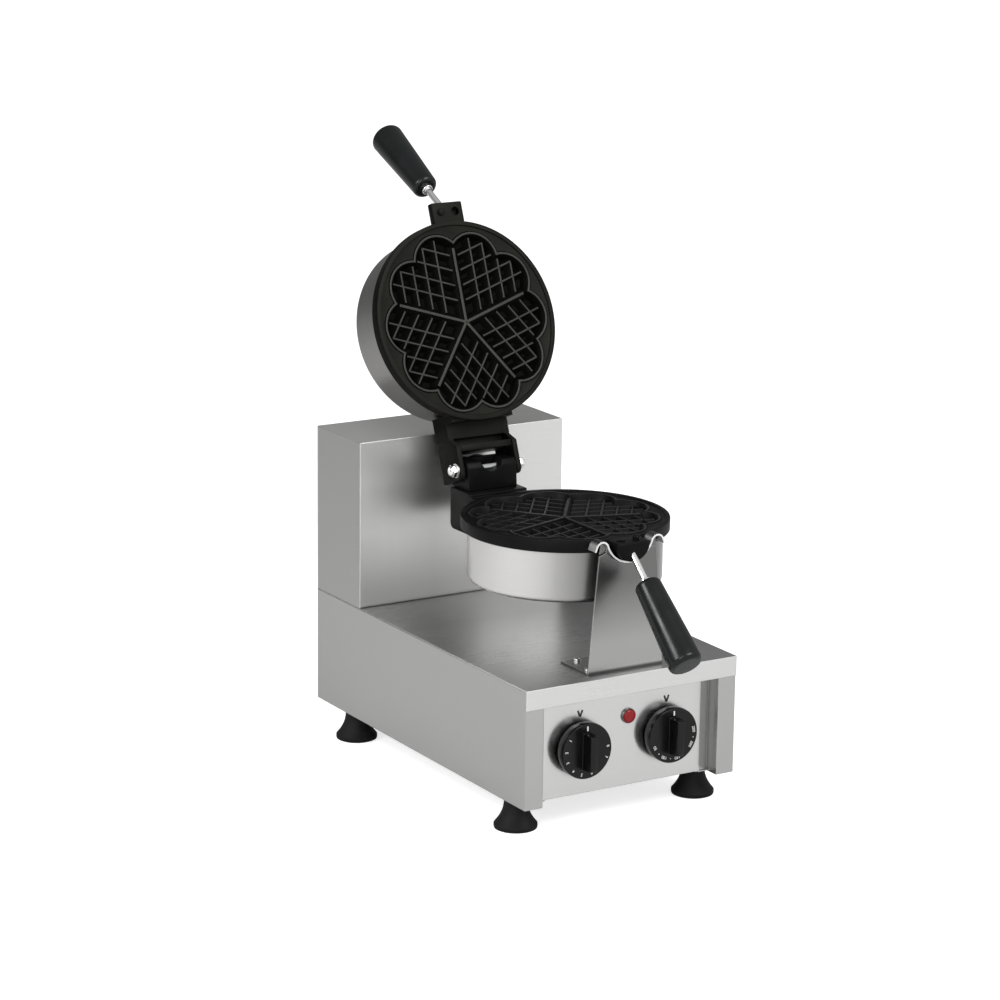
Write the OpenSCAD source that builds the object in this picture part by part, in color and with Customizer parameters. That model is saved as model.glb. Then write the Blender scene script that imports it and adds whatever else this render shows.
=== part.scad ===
// Rotary heart-waffle baker: two hinged baking plates on a shaft that turns in a sheet-steel housing.
// X is to the right seen from the front, Y to the back, Z up. The origin is on the table under the base.

/* [Base] */
// Width of the base and of the rear housing
base_w = 220; // [212:2:240]
// Depth of the base, front edge to back edge
base_d = 378; // [372:2:390]
// Height of the base casing above its feet
base_h = 109; // [105:1:115]
// Height of the rubber feet
foot_h = 29; // [26:1:32]
// Diameter of a foot where it meets the table
foot_d = 39; // [36:1:42]
// Thickness of the casing sheet
sheet = 1.2; // [1:0.1:1.5]
// Height of the folded lip at the front of the top sheet
lip_h = 18; // [14:1:22]
// Distance that the front panel is set back behind the front edge
panel_inset = 14; // [12:1:16]

/* [Rear housing] */
// Depth of the rear housing
tower_d = 83; // [80:1:90]
// Height of the rear housing above the base
tower_h = 158; // [154:1:166]

/* [Baking plates] */
// Height of the turning axis above the table
axis_h = 256; // [255:1:258]
// Radius of the rim of each plate
plate_r = 94; // [93.6:0.2:94.6]
// Distance of the plate centres in front of the middle of the base
plate_front = 74.3; // [74.1:0.2:74.9]
// Depth of the skirt below the rim
skirt_h = 11; // [10:1:12]
// Thickness of the casting inside its cover
casting_h = 24; // [22:1:26]
// Depth of the baking recess
recess_h = 10; // [8:1:11]
// Radius of the steel cover under each plate
pan_r = 88; // [87.6:0.2:88.4]
// Depth of the steel cover, from the rim plane to its flat end
pan_h = 58.3; // [56.3:0.5:58.8]
// Radius to the outermost point of a heart lobe
lobe_reach = 85; // [84.4:0.2:85.6]
// Spacing of the lattice ridges
lattice_pitch = 13.5; // [13:0.25:14]
// Gap between the two rims when the plates are shut
rim_gap = 0.4; // [0.3:0.1:0.6]

/* [Hinge] */
// Angle by which the upper plate stands open
open_angle = 111.5; // [100:0.5:111.5]
// Height of the hinge pin above the plane where the plates meet
pin_up = 14.4; // [14.2:0.2:15]
// Distance from the plate centres back to the hinge pin
pin_back = 136.8; // [136.4:0.2:137]
// Diameter of the hinge pin
pin_d = 8; // [7:0.5:8]

/* [Handles] */
// Angle at which each handle slopes away from the meeting plane
handle_slope = 42; // [38:1:44]
// Diameter of the handle rod
rod_d = 6; // [5:0.5:7]
// Bare length of the handle rod, from the lug to the grip
rod_bare = 27.5; // [25.5:0.5:29.5]
// Length of the grip
grip_l = 87; // [80:1:90]
// Diameter of the grip at the rod end
grip_d1 = 24; // [22:0.5:25]
// Diameter of the grip at its free end
grip_d2 = 31; // [29:0.5:31.5]

/* [Cradle] */
// Half width of the cradle plate at its foot
cradle_foot = 39; // [37:1:40]
// Half width of the cradle plate at its top
cradle_top = 28.5; // [27:0.5:29]
// Depth of the bent strip along the top of the cradle
strip_d = 11.5; // [10:0.5:12]
// Thickness of the bent strip
strip_t = 1.6; // [1.4:0.1:1.8]

/* [Controls] */
// Distance of each knob from the middle of the panel
knob_x = 45.5; // [44:0.5:47]
// Height of the knobs above the table
knob_z = 73; // [71:1:75]
// Diameter of a knob
knob_d = 51; // [48:1:54]
// Distance of the lamp to the right of the middle
lamp_x = 5; // [0:1:6]
// Height of the lamp above the table
lamp_z = 94.5; // [92:0.5:98]

/* [Hidden] */
$fn = 96;

// Base
half_w = base_w / 2;
half_d = base_d / 2;
base_top_z = foot_h + base_h;
front_y = -half_d;
panel_y = front_y + panel_inset;
flange_w = 17;
return_x = half_w - flange_w - sheet;
panel_half = 83;
foot_x = half_w - 15.7;
foot_front_y = -half_d + 40;
foot_rear_y = half_d - 49;
foot_hole_r = 3.2;
foot_neck_r = 10.5;
foot_cup_r = 7.5;
foot_cup_h = 8;
bottom_flange = 28;
bottom_screw_x = half_w - 7;
bottom_screw_y = 70;
small_screw_r = 1.6;
inner_flange = 12;
vent_l = 60;
vent_w = 5;
vents = 5;
vent_pitch = 14;
vent_start = 20;

// Rear housing
tower_y = half_d - tower_d;
tower_top_z = base_top_z + tower_h;
wire_slot_w = 60;
wire_slot_l = 38;
rear_screw_x = half_w - 8;
rear_screws_z = [base_top_z + 12, (base_top_z + tower_top_z) / 2, tower_top_z - 12];
cover_lap = 14;
tower_hole_r = 15;
rear_vent_w = 80;
rear_vents = 6;
rear_vent_pitch = 12;
rear_vent_z = base_top_z + 45;
gland_x = -62;
gland_z = foot_h + 34;
gland_r = 8;
gland_bore = 4;
gland_hex_r = 12;
gland_cap_r = 10.5;
terminal_w = 54;
terminal_d = 22;
terminal_h = 20;

// Plates, in a frame with the rim plane at z = 0, the body below it and the lug towards -Y
plate_y = -plate_front;
pin_y = plate_y + pin_back;
pin_z = axis_h + pin_up;
face_drop = 1.2;
rim_w = 4.2;
lug_half = 16.2;
lug_r = 17.6;
lug_tip = 112;
peg_x = 8;
peg_y = -102.9;
lobe_ring = 59.7;
heart_shift = 1.5;
lobe_r = lobe_reach - lobe_ring;
rib_w = 3.4;
rib_end = 70;
rib_drop = 2.6;
ridge_w = 1.8;
ridge_drop = 3.6;
ridge_first = 18.6;
ridges = 4;
ridge_margin = 3.5;
bead_w = 1.6;
bead_drop = 0.5;
pan_fit = 0.3;
pan_corner = 5;
body_r = 85;
boss_l = 10;
peg_r = 3.3;
hole_r = 4;
hole_l = 6;
element_r = 62;
element_d = 8;
element_z = -casting_h;
boss_r = 12;
stud_r = 3;

// Hinge block and ears
tab_half = 30.4;
tab_rear = 151.5;
tab_depth = 43;
tab_top = -4;
step_y = 114;
step_top = -7;
tab_corner = 6;
block_half = 26;
block_top = 22.4;
block_foot_y = 124.3;
block_front_y = 126;
block_head_y = 129;
block_chamfer = 4.5;
notch_r = 11.5;
notch_up = 2;
ear_in = 27.8;
ear_out = 32.6;
ear_ramp_y = 107.7;
ear_start = 115.3;
ear_end = 146.5;
ear_face = -6.4;
ear_depth = 42;
ear_round = 6;
roof_face = -17.2;
roof_end = 120.2;
groove_start = 107.2;
groove_end = 114.1;
groove_face = -25.2;
lip_face = -9.5;
fit = 0.05;

// Shaft and bearing
shaft_r = 14;
shaft_bore_r = 8;
shaft_flange_r = 22;
shaft_flange_t = 6;
shaft_start = plate_y + tab_rear;
shaft_end = tower_y + 74;
bush_r = 17;
housing_r = 23;
housing_end = tower_y + 59;
bush_l = 20;
bolt_ring = 18.2;
bolt_sink = 8;
stud_off = 28;
flange_half = 38;
collar_r = 21;
wire_drop = 27;
wire_r = 6;
wire_y = 134;
upper_wire_drop = 34.5;
upper_wire_r = 4.5;

// End stop of the half turn: a pin in the housing and a cam sector on the collar
stop_r = 2;
stop_ring = 20;
stop_angle = 270;
stop_root = 8;
over_travel = 8.6;
cam_t = 5;
cam_r = 22.5;
pin_half_turn = asin(stop_r / stop_ring);
cam_span = 180 - 2 * (pin_half_turn + over_travel);
cam_from = stop_angle - 180 + pin_half_turn + over_travel;

// Handle
rod_start_y = -lug_tip;
rod_start_z = -13;
rod_root = 9;
ferrule_r = 5.2;
ferrule_l = 3;
grip_bore_l = 60;
grip_round = 4.5;

// Hinge hardware, carried by the ears
washer_t = 1;
washer_r = 6.6;
nut_h = 4.5;
nut_r = 6.2;
nut_dome_r = 5.2;
pin_half = ear_out + washer_t + nut_h - 1;

// Cradle
strip_y = plate_y - plate_r - 0.5;
cradle_y = panel_y;
cradle_t = 1.5;
saddle_r = 23.4;
saddle_up = 5.3;
hump_r = 5.2;
hump_dz = -4.3;
hump_dx = sqrt(pow(saddle_r + hump_r + strip_t, 2) - pow(saddle_up - hump_dz, 2));
tail_l = 4.3;
tail_lean = 20;
cradle_tab_y = -132;
screw_spots = [[25, -137], [33, -168]];
cradle_screw_r = 2;

// Controls
knob_face_y = front_y + 1;
knob_skirt_y = panel_y - 0.8;
knob_grip_y = knob_face_y - 12;
knob_grip_w = 9.5;
knob_grip_r = 17;
knob_band = 7;
knob_taper = 2;
knob_wall = 4;
knob_hub_r = 6;
spindle_r = 3;
switch_half = 22;
switch_d = 38;
lamp_r = 6.9;
lamp_lens_r = 6.3;
lamp_neck_r = 4.9;
lamp_dome_r = 8;
lamp_dome_in = 3.2;
lamp_proud = 2.4;
lamp_seat = 1.6;

module box(x0, x1, y0, y1, z0, z1)
    translate([x0, y0, z0])
        cube([x1 - x0, y1 - y0, z1 - z0]);

module rod_x(r, x0, x1, y, z)
    translate([x0, y, z])
        rotate([0, 90, 0])
            cylinder(r = r, h = x1 - x0);

module rod_y(r, y0, y1, x, z)
    translate([x, y0, z])
        rotate([-90, 0, 0])
            cylinder(r = r, h = y1 - y0);

module rod_z(r, z0, z1, x, y)
    translate([x, y, z0])
        cylinder(r = r, h = z1 - z0);

module both_sides() {
    children();
    mirror([1, 0, 0]) children();
}

module four_corners(x, y)
    for (sx = [-1, 1])
        for (sy = [-1, 1])
            translate([sx * x, sy * y, 0]) children();

// Pan-head screw along +Z with the head on top, its seat at z = 0
module pan_screw(r, l, head_r, head_h) {
    translate([0, 0, -l]) cylinder(r = r, h = l);
    difference() {
        cylinder(r = head_r, h = head_h);
        translate([0, 0, head_h - 1])
            rotate(45)
                cube([head_r * 1.2, 0.9, 2.2], center = true);
        translate([0, 0, head_h - 1])
            rotate(135)
                cube([head_r * 1.2, 0.9, 2.2], center = true);
    }
}

module hex_nut(r, bore, h)
    difference() {
        cylinder(r = r, h = h, $fn = 6);
        translate([0, 0, -1]) cylinder(r = bore, h = h + 2);
    }

// ---- Base ----

// One folded side: wall, front flange, return, inner flange behind the panel, bottom and rear flange
module base_side() {
    z0 = foot_h;
    z1 = base_top_z - sheet;
    box(half_w - sheet, half_w, front_y + sheet, half_d - sheet, z0, z1);
    box(half_w - flange_w, half_w, front_y, front_y + sheet, z0, z1);
    box(return_x, half_w - flange_w, front_y, panel_y + 2 * sheet, z0, z1);
    box(return_x - inner_flange, return_x, panel_y + sheet, panel_y + 2 * sheet, z0, z1);
    box(half_w - cover_lap, half_w - sheet, half_d - 2 * sheet, half_d - sheet, z0 + 2 * sheet, z1);
    difference() {
        box(half_w - bottom_flange, half_w - sheet, panel_y, half_d - sheet, z0, z0 + sheet);
        bottom_holes();
    }
}

module base_left_side() color("silver") mirror([1, 0, 0]) base_side();
module base_right_side() color("silver") base_side();

module base_rear_wall() color("silver")
    difference() {
        box(-half_w, half_w, half_d - sheet, half_d, foot_h, base_top_z - sheet);
        rod_y(gland_r, half_d - 2 * sheet, half_d + 1, gland_x, gland_z);
    }

module foot_spots()
    for (s = [-1, 1])
        for (y = [foot_front_y, foot_rear_y])
            translate([s * foot_x, y, 0]) children();

// Holes for the foot bolts and for the screws of the bottom plate
module bottom_holes() {
    foot_spots()
        rod_z(foot_hole_r, foot_h - 1, foot_h + 3 * sheet, 0, 0);
    four_corners(bottom_screw_x, bottom_screw_y)
        rod_z(small_screw_r, foot_h - 1, foot_h + 3 * sheet, 0, 0);
}

module base_top() color("silver")
    difference() {
        union() {
            box(-half_w, half_w, front_y - sheet, half_d, base_top_z - sheet, base_top_z);
            box(-half_w, half_w, front_y - sheet, front_y, base_top_z - lip_h, base_top_z - sheet);
        }
        box(-wire_slot_w / 2, wire_slot_w / 2, half_d - 20 - wire_slot_l, half_d - 20,
            base_top_z - 2 * sheet, base_top_z + 1);
        for (p = screw_spots)
            for (s = [-1, 1])
                rod_z(cradle_screw_r + 0.1, base_top_z - 3, base_top_z + 1, s * p[0], p[1]);
    }

module front_panel() color("gainsboro")
    difference() {
        box(-panel_half, panel_half, panel_y, panel_y + sheet, foot_h + sheet, base_top_z - sheet);
        for (s = [-1, 1]) {
            rod_y(6, panel_y - 1, panel_y + 2, s * knob_x, knob_z);
            for (t = [-1, 1])
                rod_y(2.1, panel_y - 1, panel_y + 2, s * knob_x + t * 14, knob_z);
        }
        rod_y(5, panel_y - 1, panel_y + 2, lamp_x, lamp_z);
    }

module bottom_plate() color("darkgray")
    difference() {
        box(-half_w + sheet, half_w - sheet, panel_y + sheet, half_d - sheet,
            foot_h + sheet, foot_h + 2 * sheet);
        bottom_holes();
        for (i = [0 : vents - 1])
            translate([0, vent_start + i * vent_pitch, foot_h])
                box(-vent_l / 2, vent_l / 2, 0, vent_w, 0, 3 * sheet);
        both_sides()
            box(return_x - inner_flange - 1, half_w, panel_y, panel_y + 3 * sheet + 1,
                foot_h, foot_h + 3 * sheet);
    }

module bottom_screws() color("gray")
    four_corners(bottom_screw_x, bottom_screw_y)
        translate([0, 0, foot_h])
            mirror([0, 0, 1])
                pan_screw(small_screw_r, 5, 3, 1.8);

// Bell-shaped rubber foot
module foot() {
    steps = 8;
    bell = [for (i = [0 : steps])
        let (t = i / steps)
        [foot_neck_r + (foot_d / 2 - foot_neck_r) * pow(1 - t, 2.2), 4 + (foot_h - 7) * t]];
    difference() {
        rotate_extrude()
            polygon(concat([[0, 0], [foot_d / 2 - 1, 0], [foot_d / 2, 1]], bell,
                [[foot_neck_r, foot_h], [0, foot_h]]));
        rod_z(foot_cup_r, -1, foot_cup_h, 0, 0);
        rod_z(foot_hole_r, foot_cup_h - 1, foot_h + 1, 0, 0);
    }
}

module foot_front_left() color("dimgray") translate([-foot_x, foot_front_y, 0]) foot();
module foot_front_right() color("dimgray") translate([foot_x, foot_front_y, 0]) foot();
module foot_rear_left() color("dimgray") translate([-foot_x, foot_rear_y, 0]) foot();
module foot_rear_right() color("dimgray") translate([foot_x, foot_rear_y, 0]) foot();

module foot_bolts() color("gray")
    foot_spots() {
        rod_z(6, foot_cup_h - 4, foot_cup_h, 0, 0);
        rod_z(3, foot_cup_h, foot_h + 8, 0, 0);
        translate([0, 0, foot_h + 2 * sheet])
            hex_nut(5.5, 3, 4);
    }

// ---- Rear housing ----

module tower_casing() color("silver") {
    z0 = base_top_z;
    z1 = tower_top_z;
    difference() {
        union() {
            box(-half_w, half_w, tower_y, tower_y + sheet, z0, z1);
            box(-half_w, half_w, tower_y + sheet, half_d - sheet, z1 - sheet, z1);
            both_sides() {
                box(half_w - sheet, half_w, tower_y + sheet, half_d - sheet, z0, z1 - sheet);
                box(half_w - cover_lap, half_w - sheet, half_d - 2 * sheet, half_d - sheet, z0, z1 - sheet);
                box(half_w - cover_lap, half_w - sheet, tower_y + sheet, half_d - 2 * sheet,
                    z0, z0 + sheet);
            }
        }
        rod_y(tower_hole_r, tower_y - 1, tower_y + 3, 0, axis_h);
        for (s = [-1, 1])
            for (z = rear_screws_z)
                rod_y(small_screw_r, half_d - 6, half_d + 1, s * rear_screw_x, z);
    }
}

module tower_rear_cover() color("lightgray")
    difference() {
        box(-half_w, half_w, half_d - sheet, half_d, base_top_z, tower_top_z);
        for (s = [-1, 1])
            for (z = rear_screws_z)
                rod_y(small_screw_r, half_d - 6, half_d + 1, s * rear_screw_x, z);
        for (i = [0 : rear_vents - 1])
            translate([0, half_d, rear_vent_z + i * rear_vent_pitch])
                box(-rear_vent_w / 2, rear_vent_w / 2, -2 * sheet, 1, 0, vent_w);
    }

module rear_cover_screws() color("gray")
    for (s = [-1, 1])
        for (z = rear_screws_z)
            translate([s * rear_screw_x, half_d, z])
                rotate([-90, 0, 0])
                    pan_screw(small_screw_r, 6, 3.2, 2);

module cable_gland() color("black")
    difference() {
        union() {
            rod_y(gland_r - fit, half_d - 12, half_d, gland_x, gland_z);
            translate([gland_x, half_d, gland_z])
                rotate([-90, 0, 0]) {
                    cylinder(r = gland_hex_r, h = 6, $fn = 6);
                    translate([0, 0, 6]) cylinder(r = gland_cap_r, h = 9);
                    translate([0, 0, 15]) cylinder(r1 = gland_cap_r, r2 = 7, h = 6);
                }
        }
        rod_y(gland_bore, half_d - 13, half_d + 22, gland_x, gland_z);
    }

module gland_locknut() color("black")
    translate([gland_x, half_d - sheet, gland_z])
        rotate([90, 0, 0])
            hex_nut(gland_hex_r, gland_r - fit, 5);

// Stands on the bottom plate, with a hole over each clamp
module terminal_block() color("ivory")
    translate([gland_x + 45, half_d - 62, foot_h + 2 * sheet])
        difference() {
            box(0, terminal_w, 0, terminal_d, 0, terminal_h);
            for (i = [0 : 4])
                for (j = [0, 1])
                    rod_z(2.6, 12, terminal_h + 1, 7 + i * 10, 6 + j * 10);
        }

// ---- Cradle that the front lug rests in ----

module cradle_plate() color("silver") {
    foot_z = base_top_z + cradle_t;
    difference() {
        translate([0, cradle_y, 0])
            rotate([90, 0, 0])
                linear_extrude(height = cradle_t)
                    polygon([[-cradle_foot, foot_z], [cradle_foot, foot_z],
                        [cradle_top, axis_h], [-cradle_top, axis_h]]);
        rod_y(saddle_r + strip_t, cradle_y - 2 * cradle_t, cradle_y + cradle_t, 0, axis_h + saddle_up);
        for (s = [-1, 1])
            difference() {
                rod_y(hump_r + strip_t, cradle_y - 2 * cradle_t, cradle_y + cradle_t,
                    s * hump_dx, axis_h + hump_dz);
                rod_y(hump_r, cradle_y - 3 * cradle_t, cradle_y + 2 * cradle_t, s * hump_dx, axis_h + hump_dz);
            }
    }
    difference() {
        box(-cradle_foot, cradle_foot, cradle_y - cradle_t, cradle_tab_y, base_top_z, foot_z);
        for (p = screw_spots)
            for (s = [-1, 1])
                rod_z(cradle_screw_r + 0.1, base_top_z - 1, foot_z + 1, s * p[0], p[1]);
    }
}

function arc(cx, cy, r, a0, a1, n) =
    [for (i = [0 : n]) let (a = a0 + (a1 - a0) * i / n) [cx + r * cos(a), cy + r * sin(a)]];

// Corner of a strip tail: r is its radius on the left hump, l its distance down the tail
function tail_end(r, l) =
    let (a = 180 - tail_lean)
    [-hump_dx + r * cos(a) - l * sin(a), hump_dz + r * sin(a) + l * cos(a)];

// Outline of the wave-shaped strip: a saddle between two humps, with a straight tail at each end
module saddle_profile() {
    turn = atan2(saddle_up - hump_dz, hump_dx);
    near = turn + 5;
    skin = hump_r + strip_t;
    outer = tail_end(skin, tail_l);
    inner = tail_end(hump_r, tail_l);
    polygon(concat(
        [outer],
        arc(-hump_dx, hump_dz, skin, 180 - tail_lean, turn, 24),
        arc(0, saddle_up, saddle_r, 180 + near, 360 - near, 32),
        arc(hump_dx, hump_dz, skin, 180 - turn, tail_lean, 24),
        [[-outer[0], outer[1]], [-inner[0], inner[1]]],
        arc(hump_dx, hump_dz, hump_r, tail_lean, 180 - turn, 24),
        arc(0, saddle_up, saddle_r + strip_t, 360 - near, 180 + near, 32),
        arc(-hump_dx, hump_dz, hump_r, turn, 180 - tail_lean, 24),
        [inner]));
}

module cradle_saddle() color("whitesmoke")
    translate([0, strip_y, axis_h])
        rotate([90, 0, 0])
            linear_extrude(height = strip_d)
                saddle_profile();

module cradle_screws() color("gray")
    for (p = screw_spots)
        for (s = [-1, 1])
            translate([s * p[0], p[1], base_top_z + cradle_t])
                pan_screw(cradle_screw_r, 9, 3.6, 2.2);

module cradle_nuts() color("gray")
    for (p = screw_spots)
        for (s = [-1, 1])
            translate([s * p[0], p[1], base_top_z - sheet - 3.2])
                hex_nut(4, cradle_screw_r, 3.2);

// ---- Controls ----

module switch_body(s) {
    y0 = panel_y + sheet;
    difference() {
        union() {
            box(s * knob_x - switch_half, s * knob_x + switch_half, y0 + 1, y0 + switch_d,
                knob_z - switch_half, knob_z + switch_half);
            rod_y(5.8, y0 - sheet, y0 + 1, s * knob_x, knob_z);
        }
        rod_y(spindle_r + fit, y0 - 3, y0 + 20, s * knob_x, knob_z);
        for (t = [-1, 1])
            rod_y(2, y0, y0 + 8, s * knob_x + t * 14, knob_z);
    }
    for (t = [-1, 1])
        box(s * knob_x + t * 9 - 2, s * knob_x + t * 9 + 2, y0 + switch_d, y0 + switch_d + 9,
            knob_z - 3, knob_z - 2);
}

module timer_body() color("tan") switch_body(-1);
module thermostat_body() color("lightgray") switch_body(1);

module control_screws() color("gray")
    for (s = [-1, 1])
        for (t = [-1, 1])
            translate([s * knob_x + t * 14, panel_y, knob_z])
                rotate([90, 0, 0])
                    difference() {
                        translate([0, 0, -6]) cylinder(r = 2, h = 6.5);
                        translate([0, 0, 0.2]) cube([3, 0.6, 1], center = true);
                    }

module knob(s)
    difference() {
        union() {
            rod_y(knob_d / 2, knob_face_y, knob_face_y + knob_band, s * knob_x, knob_z);
            translate([s * knob_x, knob_face_y + knob_band, knob_z])
                rotate([-90, 0, 0])
                    cylinder(r1 = knob_d / 2, r2 = knob_d / 2 - knob_taper,
                        h = knob_skirt_y - knob_face_y - knob_band);
            intersection() {
                rod_y(knob_grip_r, knob_grip_y, knob_face_y, s * knob_x, knob_z);
                translate([s * knob_x, 0, 0])
                    box(-knob_grip_w / 2, knob_grip_w / 2, knob_grip_y, knob_face_y,
                        knob_z - knob_d, knob_z + knob_d);
            }
        }
        rod_y(spindle_r, knob_grip_y + knob_hub_r, knob_skirt_y + 1, s * knob_x, knob_z);
        difference() {
            rod_y(knob_d / 2 - knob_wall, knob_face_y + knob_wall, knob_skirt_y + 1, s * knob_x, knob_z);
            rod_y(knob_hub_r, knob_face_y, knob_skirt_y + 2, s * knob_x, knob_z);
        }
    }

module timer_knob() color("black") knob(-1);
module thermostat_knob() color("black") knob(1);

module spindle(s)
    rod_y(spindle_r, knob_grip_y + knob_hub_r, panel_y + sheet + 19, s * knob_x, knob_z);

module timer_spindle() color("gray") spindle(-1);
module thermostat_spindle() color("gray") spindle(1);

module lamp_lens() color("red")
    intersection() {
        rod_y(lamp_lens_r, panel_y - 6, panel_y - lamp_seat, lamp_x, lamp_z);
        translate([lamp_x, panel_y + lamp_dome_in, lamp_z]) sphere(r = lamp_dome_r);
    }

module lamp_bezel() color("lightgray")
    difference() {
        rod_y(lamp_r, panel_y - lamp_proud, panel_y, lamp_x, lamp_z);
        rod_y(lamp_lens_r, panel_y - 3, panel_y + 1, lamp_x, lamp_z);
    }

module lamp_body() color("dimgray") {
    rod_y(lamp_lens_r, panel_y - lamp_seat, panel_y, lamp_x, lamp_z);
    rod_y(lamp_neck_r, panel_y, panel_y + 24, lamp_x, lamp_z);
    difference() {
        rod_y(8, panel_y + sheet, panel_y + sheet + 4, lamp_x, lamp_z);
        rod_y(lamp_neck_r, panel_y, panel_y + 7, lamp_x, lamp_z);
    }
    for (s = [-1, 1])
        translate([lamp_x + s * 2.5, panel_y + 24, lamp_z])
            box(-0.4, 0.4, 0, 7, -2, 2);
}

// ---- Shaft bearing inside the rear housing ----

module bearing_housing() color("slategray")
    difference() {
        union() {
            box(-flange_half, flange_half, tower_y + sheet, tower_y + sheet + 6,
                axis_h - flange_half, axis_h + flange_half - 3);
            rod_y(housing_r, tower_y + sheet, housing_end, 0, axis_h);
        }
        rod_y(bush_r, tower_y, housing_end + 1, 0, axis_h);
        rod_y(stop_r, housing_end - stop_root, housing_end + 1,
            stop_ring * cos(stop_angle), axis_h + stop_ring * sin(stop_angle));
        for (sx = [-1, 1])
            for (sz = [-1, 1])
                rod_y(3.1, tower_y, tower_y + 10, sx * stud_off, axis_h + sz * stud_off);
    }

module bush(y0)
    difference() {
        rod_y(bush_r, y0, y0 + bush_l, 0, axis_h);
        rod_y(shaft_r + fit, y0 - 1, y0 + bush_l + 1, 0, axis_h);
    }

module front_bush() color("goldenrod") bush(tower_y + sheet);
module rear_bush() color("goldenrod") bush(housing_end - bush_l);

module bearing_studs() color("gray")
    for (sx = [-1, 1])
        for (sz = [-1, 1])
            rod_y(3, tower_y + sheet, tower_y + 16, sx * stud_off, axis_h + sz * stud_off);

module bearing_nuts() color("gray")
    for (sx = [-1, 1])
        for (sz = [-1, 1])
            translate([sx * stud_off, tower_y + sheet + 6, axis_h + sz * stud_off])
                rotate([-90, 0, 0])
                    hex_nut(5.5, 3, 5);

// The cam on the collar swings half a turn between its two contacts with this pin
module stop_pin() color("silver")
    rod_y(stop_r, housing_end - stop_root, housing_end + cam_t,
        stop_ring * cos(stop_angle), axis_h + stop_ring * sin(stop_angle));

// ---- Turning assembly ----

module main_shaft() color("silver")
    difference() {
        union() {
            rod_y(shaft_flange_r, shaft_start, shaft_start + shaft_flange_t, 0, axis_h);
            rod_y(shaft_r, shaft_start + shaft_flange_t, shaft_end, 0, axis_h);
        }
        rod_y(shaft_bore_r, shaft_start - 1, shaft_end + 1, 0, axis_h);
        for (a = [45 : 90 : 315])
            rod_y(2.1, shaft_start - 1, shaft_start + shaft_flange_t + 1,
                bolt_ring * cos(a), axis_h + bolt_ring * sin(a));
    }

module shaft_bolts() color("gray")
    for (a = [45 : 90 : 315])
        translate([bolt_ring * cos(a), shaft_start + shaft_flange_t, axis_h + bolt_ring * sin(a)])
            rotate([-90, 0, 0]) {
                translate([0, 0, -shaft_flange_t - bolt_sink])
                    cylinder(r = 2, h = shaft_flange_t + bolt_sink);
                difference() {
                    cylinder(r = 3.3, h = 4);
                    translate([0, 0, 2]) cylinder(r = 1.7, h = 3, $fn = 6);
                }
            }

// Collar with a cam sector: its two ends meet the stop pin at the ends of the half turn
module shaft_collar() color("gray") {
    y0 = housing_end + 0.4;
    difference() {
        rod_y(collar_r, y0 + cam_t, y0 + cam_t + 8, 0, axis_h);
        rod_y(shaft_r, y0, y0 + cam_t + 9, 0, axis_h);
    }
    difference() {
        rod_y(cam_r, y0, y0 + cam_t, 0, axis_h);
        rod_y(shaft_r, y0 - 1, y0 + cam_t + 1, 0, axis_h);
        translate([0, y0 + cam_t / 2, axis_h]) {
            rotate([0, -cam_from, 0]) box(-40, 40, -cam_t, cam_t, -40, 0);
            rotate([0, -cam_from - cam_span, 0]) box(-40, 40, -cam_t, cam_t, 0, 40);
        }
    }
}

// ---- Baking plates, drawn in their own frame and then placed ----

module lower_frame()
    translate([0, plate_y, axis_h - rim_gap / 2]) children();

// The upper casting is the lower one turned over about the Y axis, then swung open
module upper_frame()
    translate([0, pin_y, pin_z])
        rotate([-open_angle, 0, 0])
            translate([0, plate_y - pin_y, axis_h - pin_z + rim_gap / 2])
                rotate([0, 180, 0])
                    children();

module prism_x(x0, x1)
    translate([x0, 0, 0])
        rotate([90, 0, 90])
            linear_extrude(height = x1 - x0)
                children();

// Prism on the outline of the five hearts: ten lobes round a disc
module flower(r, z0, z1)
    translate([0, 0, z0])
        linear_extrude(height = z1 - z0) {
            circle(r = lobe_ring + 5);
            for (i = [0 : 9])
                rotate(36 * i)
                    translate([lobe_ring, 0])
                        circle(r = r);
        }

// How far a ridge at distance d from its rib runs inside the lobes
function lobe_end(d, a) =
    let (r = lobe_r - ridge_margin, y = abs(d - lobe_ring * sin(a)) + ridge_w / 2)
    y < r ? lobe_ring * cos(a) + sqrt(r * r - y * y) : 0;

module sector_ridges() {
    z0 = -recess_h - 1;
    z1 = -ridge_drop;
    for (k = [0 : ridges - 1])
        let (d = ridge_first + k * lattice_pitch, x = d / tan(72),
             e = max(lobe_end(d, 18), lobe_end(d, 54))) {
            box(x, e, d - ridge_w / 2, d + ridge_w / 2, z0, z1);
            rotate(72)
                box(x, e, -d - ridge_w / 2, -d + ridge_w / 2, z0, z1);
        }
}

module lattice() {
    for (i = [0 : 4])
        rotate(-90 + 72 * i) {
            sector_ridges();
            box(0, rib_end, -rib_w / 2, rib_w / 2, -recess_h - 1, -rib_drop);
        }
    rod_z(rib_w, -recess_h - 1, -rib_drop, 0, 0);
}

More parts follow.
